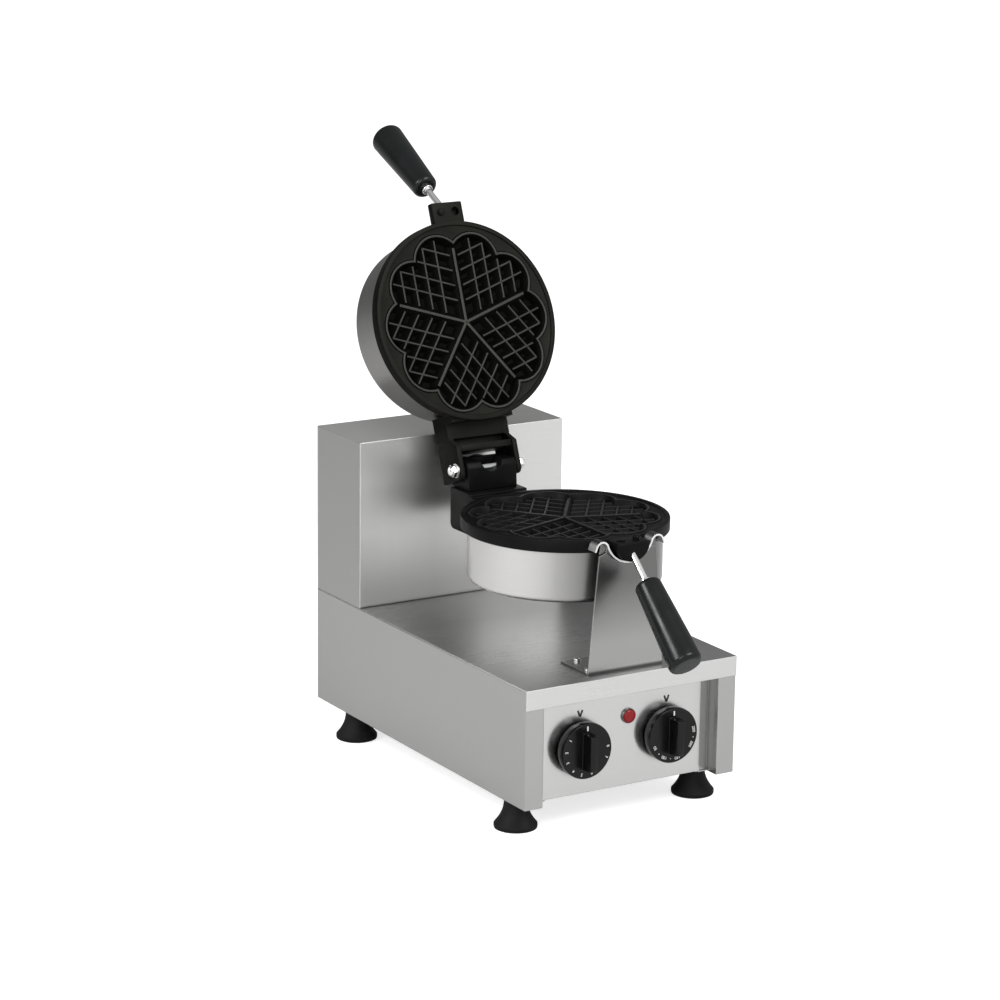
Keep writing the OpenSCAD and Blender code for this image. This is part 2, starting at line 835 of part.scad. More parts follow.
// Shared front half of both castings: rim, skirt, heart pattern, lug, peg and hole
module plate_shape() {
    difference() {
        union() {
            difference() {
                union() {
                    rod_z(plate_r, -skirt_h, 0, 0, 0);
                    intersection() {
                        rod_y(lug_r, -lug_tip, -plate_r + 12, 0, 0);
                        box(-lug_half, lug_half, -lug_tip, 0, -lug_r, 0);
                    }
                    children();
                }
                rod_z(pan_r + pan_fit, -2 * pan_h, -skirt_h, 0, 0);
            }
            rod_z(body_r, -casting_h, -skirt_h, 0, 0);
            rod_z(boss_r, -casting_h - boss_l, -casting_h, 0, 0);
        }
        difference() {
            rod_z(plate_r - rim_w, -face_drop, 1, 0, 0);
            translate([0, heart_shift, 0]) flower(lobe_r + bead_w, -face_drop - 1, -bead_drop);
        }
        translate([0, heart_shift, 0]) flower(lobe_r, -recess_h, 1);
        rod_z(hole_r, -hole_l, 1, -peg_x, peg_y);
        rod_z(stud_r, -casting_h - boss_l - 1, -casting_h + 8, 0, 0);
        translate([0, 0, element_z - 1])
            rotate_extrude()
                translate([element_r, 0])
                    circle(r = element_d / 2 + 0.2);
        handle_frame()
            translate([0, 0, -rod_root]) cylinder(r = rod_d / 2, h = 3 * rod_root);
    }
    translate([0, heart_shift, 0]) lattice();
    rod_z(peg_r, -1, 2.6, peg_x, peg_y);
    translate([peg_x, peg_y, 2.6])
        cylinder(r1 = peg_r, r2 = peg_r - 1, h = 1.2);
}

module lower_plate() color("#1d1d1d") lower_frame()
    difference() {
        plate_shape() {
            // Tab behind the rim with its round lower corner
            box(-tab_half, tab_half, pan_r - 4, step_y, -tab_depth, step_top);
            box(-tab_half, tab_half, step_y, tab_rear - tab_corner, -tab_depth, tab_top);
            box(-tab_half, tab_half, step_y, tab_rear, tab_corner - tab_depth, tab_top);
            rod_x(tab_corner, -tab_half, tab_half, tab_rear - tab_corner, tab_corner - tab_depth);
            // Hinge block with a nearly upright front and a chamfer at its top
            prism_x(-block_half, block_half)
                polygon([[block_foot_y, tab_top - 1], [tab_rear, tab_top - 1], [tab_rear, block_top],
                    [block_head_y, block_top], [block_front_y, block_top - block_chamfer]]);
        }
        rod_x(pin_d / 2 + fit, -50, 50, pin_back, pin_up + rim_gap / 2);
        rod_y(notch_r, block_foot_y - 1, tab_rear - 6, 0, block_top + notch_up);
        // Way for the wires from the hollow shaft down into the cover
        rod_y(shaft_bore_r, wire_y - wire_r, tab_rear + 1, 0, rim_gap / 2);
        rod_z(wire_r, -wire_drop, 0, 0, wire_y);
        rod_y(wire_r, pan_r - 5, wire_y, 0, -wire_drop);
        for (a = [45 : 90 : 315])
            rod_y(2, tab_rear - bolt_sink, tab_rear + 1,
                bolt_ring * cos(a), rim_gap / 2 + bolt_ring * sin(a));
    }

module upper_plate() color("#3b3b35") upper_frame()
    difference() {
        plate_shape() {
            // Roof over the hinge, joined to the skirt behind the cover
            box(-ear_out, ear_out, pan_r - 4, pan_r + 4.6, -ear_depth, -skirt_h / 2);
            box(-ear_out, ear_out, pan_r, groove_start, -ear_depth, roof_face);
            box(-ear_out, ear_out, groove_start, roof_end, -ear_depth, groove_face);
            box(-ear_in - 1, ear_in + 1, groove_end, roof_end, -ear_depth, lip_face);
            // Ears on both sides of the hinge block, with a ramp up from the roof
            both_sides()
                prism_x(ear_in, ear_out)
                    polygon(concat([[ear_ramp_y, -ear_depth], [ear_ramp_y, roof_face],
                        [ear_start, ear_face]],
                        arc(ear_end - ear_round, ear_face - ear_round, ear_round, 90, 0, 12),
                        [[ear_end, -ear_depth]]));
        }
        rod_x(pin_d / 2, -50, 50, pin_back, rim_gap / 2 - pin_up);
        rod_y(upper_wire_r, pan_r - 5, roof_end + 1, 0, -upper_wire_drop);
    }

module element() {
    leg = 14;
    translate([0, 0, element_z - 1]) {
        rotate(105)
            rotate_extrude(angle = 330)
                translate([element_r, 0])
                    circle(r = element_d / 2);
        for (a = [105, 75])
            rotate(a)
                translate([element_r, 0, -leg]) cylinder(r = element_d / 2 - 0.5, h = leg);
    }
}

module insulation()
    difference() {
        rod_z(pan_r - pan_corner - 1, -pan_h + sheet, -casting_h - 12, 0, 0);
        rod_z(stud_r + 1, -pan_h, -casting_h, 0, 0);
        for (a = [105, 75])
            rotate(a) rod_z(element_d / 2 + 0.5, -pan_h, -casting_h, element_r, 0);
    }

// Half section of a round pan with one rounded corner
module pan_profile(r, h, c) {
    square([r - c, h]);
    translate([0, c]) square([r, h - c]);
    translate([r - c, c]) circle(r = c);
}

module pan_cover(way_r, way_z)
    difference() {
        translate([0, 0, -pan_h])
            difference() {
                rotate_extrude()
                    pan_profile(pan_r, pan_h - skirt_h, pan_corner);
                translate([0, 0, sheet])
                    rotate_extrude()
                        pan_profile(pan_r - sheet, pan_h - skirt_h, pan_corner - sheet);
            }
        rod_z(stud_r, -pan_h - 1, -pan_h + 3, 0, 0);
        rod_y(way_r, pan_r - 5, pan_r + 5, 0, way_z);
    }

// Domed bolt that holds the cover against the skirt
module cover_bolt() {
    head_h = 4;
    rod_z(stud_r, -pan_h, -casting_h + 6, 0, 0);
    translate([0, 0, -pan_h - head_h])
        cylinder(r = 6.5, h = head_h, $fn = 6);
    intersection() {
        translate([0, 0, -pan_h - head_h + 1]) sphere(r = 5.6);
        rod_z(5, -pan_h - 12, -pan_h - head_h + 0.5, 0, 0);
    }
}

module handle_frame()
    translate([0, rod_start_y, rod_start_z])
        rotate([90 + handle_slope, 0, 0])
            children();

module handle_rod()
    handle_frame()
        translate([0, 0, -rod_root])
            cylinder(r = rod_d / 2, h = rod_root + rod_bare + grip_bore_l);

module handle_ferrule()
    handle_frame()
        translate([0, 0, rod_bare - ferrule_l])
            difference() {
                cylinder(r = ferrule_r, h = ferrule_l);
                translate([0, 0, -1]) cylinder(r = rod_d / 2, h = ferrule_l + 2);
            }

module handle_grip()
    handle_frame()
        translate([0, 0, rod_bare])
            difference() {
                rotate_extrude()
                    polygon(concat([[0, 0]],
                        arc(grip_d1 / 2 - grip_round, grip_round, grip_round, -90, 0, 6),
                        arc(grip_d2 / 2 - grip_round, grip_l - grip_round, grip_round, 0, 90, 6),
                        [[0, grip_l]]));
                translate([0, 0, -1]) cylinder(r = rod_d / 2, h = grip_bore_l + 1);
            }

module lower_element() color("dimgray") lower_frame() element();
module lower_insulation() color("ivory") lower_frame() insulation();
module lower_pan_cover() color("silver") lower_frame() pan_cover(wire_r, -wire_drop);
module lower_cover_bolt() color("gray") lower_frame() cover_bolt();
module lower_handle_rod() color("silver") lower_frame() handle_rod();
module lower_handle_grip() color("black") lower_frame() handle_grip();
module lower_handle_ferrule() color("gray") lower_frame() handle_ferrule();

module upper_element() color("dimgray") upper_frame() element();
module upper_insulation() color("ivory") upper_frame() insulation();
module upper_pan_cover() color("silver") upper_frame() pan_cover(upper_wire_r, -upper_wire_drop);
module upper_cover_bolt() color("gray") upper_frame() cover_bolt();
module upper_handle_rod() color("silver") upper_frame() handle_rod();
module upper_handle_grip() color("black") upper_frame() handle_grip();
module upper_handle_ferrule() color("gray") upper_frame() handle_ferrule();

// ---- Hinge hardware, carried by the ears ----

module hinge_pin() color("silver")
    rod_x(pin_d / 2, -pin_half, pin_half, pin_y, pin_z);

module hinge_washers() color("lightgray")
    both_sides()
        difference() {
            rod_x(washer_r, ear_out, ear_out + washer_t, pin_y, pin_z);
            rod_x(pin_d / 2, ear_out - 1, ear_out + washer_t + 1, pin_y, pin_z);
        }

module hinge_nuts() color("lightgray")
    both_sides()
        difference() {
            translate([ear_out + washer_t, pin_y, pin_z])
                rotate([0, 90, 0]) {
                    cylinder(r = nut_r, h = nut_h, $fn = 6);
                    intersection() {
                        translate([0, 0, nut_h - 2]) sphere(r = nut_dome_r);
                        cylinder(r = nut_r, h = 2 * nut_h);
                    }
                }
            rod_x(pin_d / 2, ear_out, pin_half, pin_y, pin_z);
        }

base_left_side();
base_right_side();
base_rear_wall();
base_top();
front_panel();
bottom_plate();
bottom_screws();
foot_front_left();
foot_front_right();
foot_rear_left();
foot_rear_right();
foot_bolts();
tower_casing();
tower_rear_cover();
rear_cover_screws();
cable_gland();
gland_locknut();
terminal_block();
cradle_plate();
cradle_saddle();
cradle_screws();
cradle_nuts();
timer_body();
thermostat_body();
control_screws();
lamp_lens();
lamp_bezel();
lamp_body();
bearing_housing();
front_bush();
rear_bush();
bearing_studs();
bearing_nuts();
stop_pin();
timer_knob();
timer_spindle();
thermostat_knob();
thermostat_spindle();
main_shaft();
shaft_bolts();
shaft_collar();
lower_plate();
lower_element();
lower_insulation();
lower_pan_cover();
lower_cover_bolt();
lower_handle_rod();
lower_handle_grip();
lower_handle_ferrule();
hinge_pin();
hinge_nuts();
hinge_washers();
upper_plate();
upper_element();
upper_insulation();
upper_pan_cover();
upper_cover_bolt();
upper_handle_rod();
upper_handle_grip();
upper_handle_ferrule();
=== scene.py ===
# Rotary heart-waffle maker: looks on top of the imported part. Metres, same frame as the part.
import bpy
import bmesh
import math
from mathutils import Matrix, Vector


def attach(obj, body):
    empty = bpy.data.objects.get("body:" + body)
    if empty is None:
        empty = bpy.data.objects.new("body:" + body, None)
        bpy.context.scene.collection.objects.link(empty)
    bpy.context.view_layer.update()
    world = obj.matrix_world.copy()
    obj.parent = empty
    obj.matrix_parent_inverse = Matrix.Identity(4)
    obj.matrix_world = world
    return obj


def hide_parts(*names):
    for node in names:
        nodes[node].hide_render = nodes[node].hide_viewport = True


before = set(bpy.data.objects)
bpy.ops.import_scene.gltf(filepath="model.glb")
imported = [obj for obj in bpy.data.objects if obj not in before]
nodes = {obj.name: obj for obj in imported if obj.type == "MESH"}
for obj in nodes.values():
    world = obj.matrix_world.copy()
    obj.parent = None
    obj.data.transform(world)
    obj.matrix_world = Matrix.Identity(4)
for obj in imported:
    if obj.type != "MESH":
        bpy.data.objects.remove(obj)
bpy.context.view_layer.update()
mm = 0.001

# camera

cameraSettings = {
    "place": (-1.57947, -2.54456, 1.00792),
    "azimuth": -31.449,
    "elevation": 14.162,
    "roll": 0.700,
    "lens": 121.69,
    "sensor": 36,
    "farClip": 60,
}


def makeCamera(s):
    az, el, roll = (math.radians(s[k]) for k in ("azimuth", "elevation", "roll"))
    back = Vector((math.sin(az) * math.cos(el), -math.cos(az) * math.cos(el), math.sin(el)))
    side = Vector((0, 0, 1)).cross(back).normalized()
    up = back.cross(side)
    right = side * math.cos(roll) + up * math.sin(roll)
    top = up * math.cos(roll) - side * math.sin(roll)
    data = bpy.data.cameras.new("studioCamera")
    data.sensor_width = s["sensor"]
    data.lens = s["lens"]
    data.clip_end = s["farClip"]
    camera = bpy.data.objects.new("studioCamera", data)
    bpy.context.scene.collection.objects.link(camera)
    turn = Matrix((right, top, back)).transposed().to_4x4()
    camera.matrix_world = Matrix.Translation(s["place"]) @ turn
    bpy.context.scene.camera = camera


makeCamera(cameraSettings)
print("camera placed")

# shared shader groups

streakSettings = {
    "fine": {"Scale": 1, "Detail": 3, "Roughness": 0.65},
    "haze": {"Scale": 7, "Detail": 2},
}

skinSettings = {
    "fine": {"Detail": 4, "Roughness": 0.7},
    "mottle": {"Scale": 55, "Detail": 5},
}

edgeSettings = {
    "samples": 6,
}

seamSettings = {
    "samples": 8,
    "open": (0.15, 0.75),
}


def newGroup(name, inputs, outputs):
    group = bpy.data.node_groups.new(name, "ShaderNodeTree")
    for label, kind, value in inputs:
        socket = group.interface.new_socket(label, in_out="INPUT", socket_type=kind)
        if value is not None:
            socket.default_value = value
    for label, kind in outputs:
        group.interface.new_socket(label, in_out="OUTPUT", socket_type=kind)
    start = group.nodes.new("NodeGroupInput")
    end = group.nodes.new("NodeGroupOutput")
    return group, start, end


def addNode(tree, kind, **values):
    node = tree.nodes.new(kind)
    for key, value in values.items():
        setattr(node, key, value)
    return node


def setSockets(node, values):
    for key, value in values.items():
        node.inputs[key].default_value = value
    return node


def makeStreaks(s):
    group, start, end = newGroup("brushStreaks", [
        ("Vector", "NodeSocketVector", None), ("Spread", "NodeSocketVector", (900, 900, 20))],
        [("Streak", "NodeSocketFloat"), ("Haze", "NodeSocketFloat")])
    scale = addNode(group, "ShaderNodeVectorMath", operation="MULTIPLY")
    fine = setSockets(addNode(group, "ShaderNodeTexNoise"), s["fine"])
    haze = setSockets(addNode(group, "ShaderNodeTexNoise"), s["haze"])
    link = group.links.new
    link(start.outputs["Vector"], scale.inputs[0])
    link(start.outputs["Spread"], scale.inputs[1])
    link(scale.outputs[0], fine.inputs["Vector"])
    link(start.outputs["Vector"], haze.inputs["Vector"])
    link(fine.outputs["Fac"], end.inputs["Streak"])
    link(haze.outputs["Fac"], end.inputs["Haze"])
    return group


def makeCastSkin(s):
    group, start, end = newGroup("castSkin", [
        ("Vector", "NodeSocketVector", None), ("Grain", "NodeSocketFloat", 1800)],
        [("Height", "NodeSocketFloat"), ("Mottle", "NodeSocketFloat")])
    fine = setSockets(addNode(group, "ShaderNodeTexNoise"), s["fine"])
    mottle = setSockets(addNode(group, "ShaderNodeTexNoise"), s["mottle"])
    link = group.links.new
    link(start.outputs["Vector"], fine.inputs["Vector"])
    link(start.outputs["Grain"], fine.inputs["Scale"])
    link(start.outputs["Vector"], mottle.inputs["Vector"])
    link(fine.outputs["Fac"], end.inputs["Height"])
    link(mottle.outputs["Fac"], end.inputs["Mottle"])
    return group


# edges found by a bevel: a mask for lighter edges, partly wear and partly painted highlight, and a
# rounded normal
def makeEdgeWearAndHighlight(s):
    group, start, end = newGroup("edgeWearAndHighlight", [
        ("Radius", "NodeSocketFloat", 0.0008), ("Gain", "NodeSocketFloat", 4.0)],
        [("Edge", "NodeSocketFloat"), ("Normal", "NodeSocketVector")])
    bevel = addNode(group, "ShaderNodeBevel", samples=s["samples"])
    shape = addNode(group, "ShaderNodeNewGeometry")
    dot = addNode(group, "ShaderNodeVectorMath", operation="DOT_PRODUCT")
    flip = addNode(group, "ShaderNodeMath", operation="SUBTRACT")
    flip.inputs[0].default_value = 1
    gain = addNode(group, "ShaderNodeMath", operation="MULTIPLY", use_clamp=True)
    link = group.links.new
    link(start.outputs["Radius"], bevel.inputs["Radius"])
    link(bevel.outputs[0], dot.inputs[0])
    link(shape.outputs["Normal"], dot.inputs[1])
    link(dot.outputs["Value"], flip.inputs[1])
    link(flip.outputs[0], gain.inputs[0])
    link(start.outputs["Gain"], gain.inputs[1])
    link(gain.outputs[0], end.inputs["Edge"])
    link(bevel.outputs[0], end.inputs["Normal"])
    return group


def makeSeams(s):
    # 1 in seams and corners, 0 on open faces
    group, start, end = newGroup("seamShade", [("Reach", "NodeSocketFloat", 0.008)],
                                 [("Seam", "NodeSocketFloat")])
    near = addNode(group, "ShaderNodeAmbientOcclusion", samples=s["samples"])
    shut = addNode(group, "ShaderNodeMapRange")
    low, high = s["open"]
    setSockets(shut, {"From Min": low, "From Max": high, "To Min": 1, "To Max": 0})
    link = group.links.new
    link(start.outputs["Reach"], near.inputs["Distance"])
    link(near.outputs["AO"], shut.inputs["Value"])
    link(shut.outputs["Result"], end.inputs["Seam"])
    return group


def makeAxisMask(name, bothWays):
    # 0 to 1 as the vector's part along the axis goes from Low to High
    group, start, end = newGroup(name, [
        ("Vector", "NodeSocketVector", None), ("Axis", "NodeSocketVector", (1, 0, 0)),
        ("Low", "NodeSocketFloat", 0.0), ("High", "NodeSocketFloat", 1.0)],
        [("Mask", "NodeSocketFloat")])
    dot = addNode(group, "ShaderNodeVectorMath", operation="DOT_PRODUCT")
    ramp = addNode(group, "ShaderNodeMapRange")
    link = group.links.new
    link(start.outputs["Vector"], dot.inputs[0])
    link(start.outputs["Axis"], dot.inputs[1])
    part = dot.outputs["Value"]
    if bothWays:
        size = addNode(group, "ShaderNodeMath", operation="ABSOLUTE")
        link(part, size.inputs[0])
        part = size.outputs[0]
    link(part, ramp.inputs["Value"])
    link(start.outputs["Low"], ramp.inputs["From Min"])
    link(start.outputs["High"], ramp.inputs["From Max"])
    link(ramp.outputs["Result"], end.inputs["Mask"])
    return group


brushStreaks = makeStreaks(streakSettings)
castSkin = makeCastSkin(skinSettings)
edgeWearAndHighlight = makeEdgeWearAndHighlight(edgeSettings)
seamShade = makeSeams(seamSettings)
facingMask = makeAxisMask("facingMask", True)
placeMask = makeAxisMask("placeMask", False)

# what each kind of finish has in common: pairs are a low and a high end, depths are metres

sheetLook = {
    "tint": (0.985, 1.012),
    "roughSwing": 0.009,
    "haze": (-0.008, 0.01),
    "edgeGain": 2.5,
    "edgeLiftWornAndLit": 1.25,
    "facingShadeRange": (0.4, 0.9),
    "shadeRampRange": (0.95, 0.6),
    "bendShadowColour": (0.07, 0.07, 0.07),
    "seamReach": 0.008,
    "seamShadeTone": 0.3,
    "smear": 0.7,
    "bump": {"Strength": 0.004, "Distance": 0.00003},
}

castLook = {
    "grain": 1800,
    "tint": (0.8, 1.25),
    "edgeRadius": 0.0007,
    "edgeGain": 2.2,
    "shadedSideRange": (0.5, 0.95),
    "rough": (-0.06, 0.08),
    "bump": {"Strength": 0.25, "Distance": 0.00015},
}

polishLook = {
    "grain": 900,
    "tint": (0.94, 1.03),
    "edgeRadius": 0.0005,
    "edgeGain": 2.0,
    "rough": (0.8, 1.4),
    "bump": {"Strength": 0.04, "Distance": 0.00005},
}

mouldLook = {
    "grain": 1500,
    "tint": (0.85, 1.2),
    "edgeRadius": 0.0006,
    "edgeGain": 1.5,
    "edgeLiftWornAndLit": 1.8,
    "rough": (-0.04, 0.06),
    "bump": {"Strength": 0.12, "Distance": 0.0001},
}


def newMaterial(name):
    material = bpy.data.materials.new(name)
    material.use_nodes = True
    tree = material.node_tree
    shader = tree.nodes["Principled BSDF"]
    return material, tree, shader


def placeGroup(tree, group, **values):
    node = tree.nodes.new("ShaderNodeGroup")
    node.node_tree = group
    return setSockets(node, values)


def span(tree, source, low, high, reach=(0.3, 0.7)):
    # reach is the part of the source that is stretched; noise lies mostly in the middle
    node = addNode(tree, "ShaderNodeMapRange")
    setSockets(node, {"From Min": reach[0], "From Max": reach[1], "To Min": low, "To Max": high})
    tree.links.new(source, node.inputs["Value"])
    return node.outputs["Result"]


def blendColour(tree, factor, first, second):
    # first is a plain colour or the output of another node
    node = addNode(tree, "ShaderNodeMix", data_type="RGBA")
    node.inputs["B"].default_value = (*second, 1)
    if hasattr(first, "node"):
        tree.links.new(first, node.inputs["A"])
    else:
        node.inputs["A"].default_value = (*first, 1)
    tree.links.new(factor, node.inputs["Factor"])
    return node.outputs["Result"]


def objectVector(tree, turn=(0, 0, 0)):
    place = addNode(tree, "ShaderNodeTexCoord")
    if turn == (0, 0, 0):
        return place.outputs["Object"]
    mapping = addNode(tree, "ShaderNodeMapping")
    mapping.inputs["Rotation"].default_value = [math.radians(a) for a in turn]
    tree.links.new(place.outputs["Object"], mapping.inputs["Vector"])
    return mapping.outputs["Vector"]


def tinted(colour, k):
    return tuple(min(1, c * k) for c in colour)


axes = {"X": (1, 0, 0), "Y": (0, 1, 0), "Z": (0, 0, 1)}


def facing(tree, axis, low=0, high=1):
    # rises from low to high as the surface turns to look along the piece's own axis, either way
    shape = addNode(tree, "ShaderNodeTexCoord")
    mask = placeGroup(tree, facingMask, Axis=axes[axis], Low=low, High=high)
    tree.links.new(shape.outputs["Normal"], mask.inputs["Vector"])
    return mask.outputs["Mask"]


def within(tree, axis, low, high):
    # rises from low to high as the place moves along the axis, in metres
    mask = placeGroup(tree, placeMask, Axis=axes[axis], Low=low, High=high)
    tree.links.new(objectVector(tree), mask.inputs["Vector"])
    return mask.outputs["Mask"]


def combine(tree, operation, first, second):
    node = addNode(tree, "ShaderNodeMath", operation=operation)
    tree.links.new(first, node.inputs[0])
    tree.links.new(second, node.inputs[1])
    return node.outputs[0]


def addBump(tree, shader, height, edging, values):
    # relief of the skin on top of the softened edges
    bump = setSockets(addNode(tree, "ShaderNodeBump"), values)
    tree.links.new(height, bump.inputs["Height"])
    tree.links.new(edging.outputs["Normal"], bump.inputs["Normal"])
    tree.links.new(bump.outputs["Normal"], shader.inputs["Normal"])


def brushedSteel(name, colour, rough, spread, turn=(0, 0, 0), edge=0.0009, smear=None,
                 facingShade=None, foot=None, shadeRamp=None):
    s = sheetLook
    material, tree, shader = newMaterial(name)
    streaks = placeGroup(tree, brushStreaks, Spread=spread)
    tree.links.new(objectVector(tree, turn), streaks.inputs["Vector"])
    streak = streaks.outputs["Streak"]
    edging = placeGroup(tree, edgeWearAndHighlight, Radius=edge, Gain=s["edgeGain"])
    body = blendColour(tree, span(tree, streak, 0, 1), *(tinted(colour, k) for k in s["tint"]))
    if facingShade:
        # painted shade and painted light: faces that look along this axis get another tone, darker
        # or lighter than the rest, for how the light falls on them
        axis, shade = facingShade
        mask = facing(tree, axis, *s["facingShadeRange"])
        body = blendColour(tree, mask, body, tinted(colour, shade))
    if shadeRamp:
        # painted shade and painted reflection: tone that changes along a sheet, but not on the
        # faces that look that way
        axis, low, high, shade = shadeRamp
        beside = facing(tree, axis, *s["shadeRampRange"])
        mask = combine(tree, "MULTIPLY", within(tree, axis, low, high), beside)
        body = blendColour(tree, mask, body, tinted(colour, shade))
    if foot:
        # painted shadow: dark line in the bend where the sheet meets the one below it
        mask = combine(tree, "MULTIPLY", within(tree, "Z", *foot), facing(tree, "Y"))
        body = blendColour(tree, mask, body, s["bendShadowColour"])
    # edge wear and painted highlight: edges lighter than the faces
    wornAndLit = blendColour(tree, edging.outputs["Edge"], body, tinted(colour, s["edgeLiftWornAndLit"]))
    # painted shade: seams and corners of the sheets are darker than their open faces
    seam = placeGroup(tree, seamShade, Reach=s["seamReach"])
    seamShaded = blendColour(tree, seam.outputs["Seam"], wornAndLit, tinted(colour, s["seamShadeTone"]))
    tree.links.new(seamShaded, shader.inputs["Base Color"])
    shader.inputs["Metallic"].default_value = 1
    grain = span(tree, streak, rough - s["roughSwing"], rough + s["roughSwing"])
    haze = span(tree, streaks.outputs["Haze"], *s["haze"])
    tree.links.new(combine(tree, "ADD", grain, haze), shader.inputs["Roughness"])
    if smear:
        tangent = addNode(tree, "ShaderNodeTangent", direction_type="RADIAL", axis=smear)
        tree.links.new(tangent.outputs[0], shader.inputs["Tangent"])
        shader.inputs["Anisotropic"].default_value = s["smear"]
    addBump(tree, shader, streak, edging, s["bump"])
    return material


def skinned(name, colour, grain, s):
    material, tree, shader = newMaterial(name)
    skin = placeGroup(tree, castSkin, Grain=grain)
    tree.links.new(objectVector(tree), skin.inputs["Vector"])
    edging = placeGroup(tree, edgeWearAndHighlight, Radius=s["edgeRadius"], Gain=s["edgeGain"])
    mask = span(tree, skin.outputs["Mottle"], 0, 1)
    body = blendColour(tree, mask, *(tinted(colour, k) for k in s["tint"]))
    return material, tree, shader, skin, edging, body


def castCoat(name, colour, rough, edgeColour, specular, side=1.0):
    s = castLook
    material, tree, shader, skin, edging, body = skinned(name, colour, s["grain"], s)
    if side < 1:
        # painted shade: faces that look along x are darker than the fronts
        mask = facing(tree, "X", *s["shadedSideRange"])
        body = blendColour(tree, mask, body, tinted(colour, side))
    # edge wear and painted highlight: edges lighter than the faces
    wornAndLit = blendColour(tree, edging.outputs["Edge"], body, edgeColour)
    tree.links.new(wornAndLit, shader.inputs["Base Color"])
    shader.inputs["Specular IOR Level"].default_value = specular
    swing = span(tree, skin.outputs["Mottle"], *(rough + k for k in s["rough"]))
    tree.links.new(swing, shader.inputs["Roughness"])
    addBump(tree, shader, skin.outputs["Height"], edging, s["bump"])
    return material


def polished(name, colour, rough):
    s = polishLook
    material, tree, shader, skin, edging, body = skinned(name, colour, s["grain"], s)
    tree.links.new(body, shader.inputs["Base Color"])
    shader.inputs["Metallic"].default_value = 1
    swing = span(tree, skin.outputs["Mottle"], *(rough * k for k in s["rough"]))
    tree.links.new(swing, shader.inputs["Roughness"])
    addBump(tree, shader, skin.outputs["Height"], edging, s["bump"])
    return material


def moulded(name, colour, rough, grain=None, bump=None, edgeColour=None, specular=0.5):
    s = mouldLook
    grain = grain or s["grain"]
    material, tree, shader, skin, edging, body = skinned(name, colour, grain, s)
    edgeColour = edgeColour or tinted(colour, s["edgeLiftWornAndLit"])
    # edge wear and painted highlight: edges lighter than the faces
    wornAndLit = blendColour(tree, edging.outputs["Edge"], body, edgeColour)
    tree.links.new(wornAndLit, shader.inputs["Base Color"])
    swing = span(tree, skin.outputs["Mottle"], *(rough + k for k in s["rough"]))
    tree.links.new(swing, shader.inputs["Roughness"])
    shader.inputs["Specular IOR Level"].default_value = specular
    relief = {**s["bump"], "Strength": bump or s["bump"]["Strength"]}
    addBump(tree, shader, skin.outputs["Height"], edging, relief)
    return material


# grain of the brushing, as noise cells per metre along x, y and z

grainAcross = (14, 900, 900)
grainAlong = (900, 14, 900)
grainUp = (900, 900, 14)
grainSpun = (16, 16, 1100)
grainInside = (300, 300, 300)

# the sheets are one stainless steel; their base colours differ as painted light and painted shade
steelPanel = brushedSteel("steelPanel", (0.69, 0.69, 0.685), 0.2, grainAcross, smear="X")
# painted shade: the top darker than its lip, and darker still towards the tower as painted
# reflection
steelTop = brushedSteel("steelTop", (0.74, 0.74, 0.735), 0.28, grainAcross, facingShade=("Z", 0.88),
                        shadeRamp=("Y", -0.17, 0.02, 0.33))
# painted shade: the cradle plate darker than the panel and darker towards its top, with a painted
# shadow line at its foot
steelCradleShaded = brushedSteel("steelCradleShaded", (0.42, 0.42, 0.415), 0.26, grainUp,
                           foot=(0.1416, 0.1394), shadeRamp=("Z", 0.165, 0.22, 0.46))
# painted shade on the tower's sides and a painted shadow line at its foot; painted reflection
# lightens the front towards the left
steelFront = brushedSteel("steelBrushedAcross", (0.78, 0.78, 0.77), 0.37, grainAcross,
                          facingShade=("X", 0.54), foot=(0.1392, 0.1382),
                          shadeRamp=("X", -0.03, -0.085, 1.28))
steelRear = brushedSteel("steelRear", (0.56, 0.56, 0.555), 0.3, grainAcross)
# painted shade: the side walls darker than the front, with their front flanges lighter as painted
# light
steelSideShaded = brushedSteel("steelBrushedAlongShaded", (0.44, 0.44, 0.436), 0.24, grainAlong,
                         facingShade=("Y", 1.12))
# painted shade: the lower cover darker from its left towards its middle and right
steelCover = brushedSteel("steelSpunCover", (0.68, 0.675, 0.665), 0.3, grainSpun,
                          shadeRamp=("X", -0.085, -0.03, 0.35))
# painted shade: the lid cover's wall darker than the lower cover, with its end face lighter as
# painted light
steelCoverTiltedShaded = brushedSteel("steelSpunCoverTiltedShaded", (0.28, 0.277, 0.27), 0.34, grainSpun,
                                turn=(111.5, 0, 0), facingShade=("Y", 2.2))
steelHidden = brushedSteel("steelInside", (0.45, 0.45, 0.45), 0.4, grainInside)
# painted light on the strip's front edge and steep faces, painted shade on the faces that look up
# or down
stripSteelLitShaded = brushedSteel("stripSteelLitShaded", (0.98, 0.98, 0.98), 0.3, grainAcross, edge=0.0002,
                          facingShade=("Z", 0.14))
# both plates are one casting under one coat: the lower set is darker as painted shade, the upper
# set lighter as painted light
shadedCastLower = castCoat("castCoatLowerShaded", (0.003, 0.003, 0.003), 0.4, (0.011, 0.011, 0.0105), 0.09)
shadedPocketLower = castCoat("castPocketLowerShaded", (0.002, 0.002, 0.002), 0.45, (0.01, 0.01, 0.01), 0.08)
wornLitLineLower = castCoat("castLineLowerWornLit", (0.008, 0.008, 0.008), 0.34, (0.02, 0.02, 0.02), 0.3)
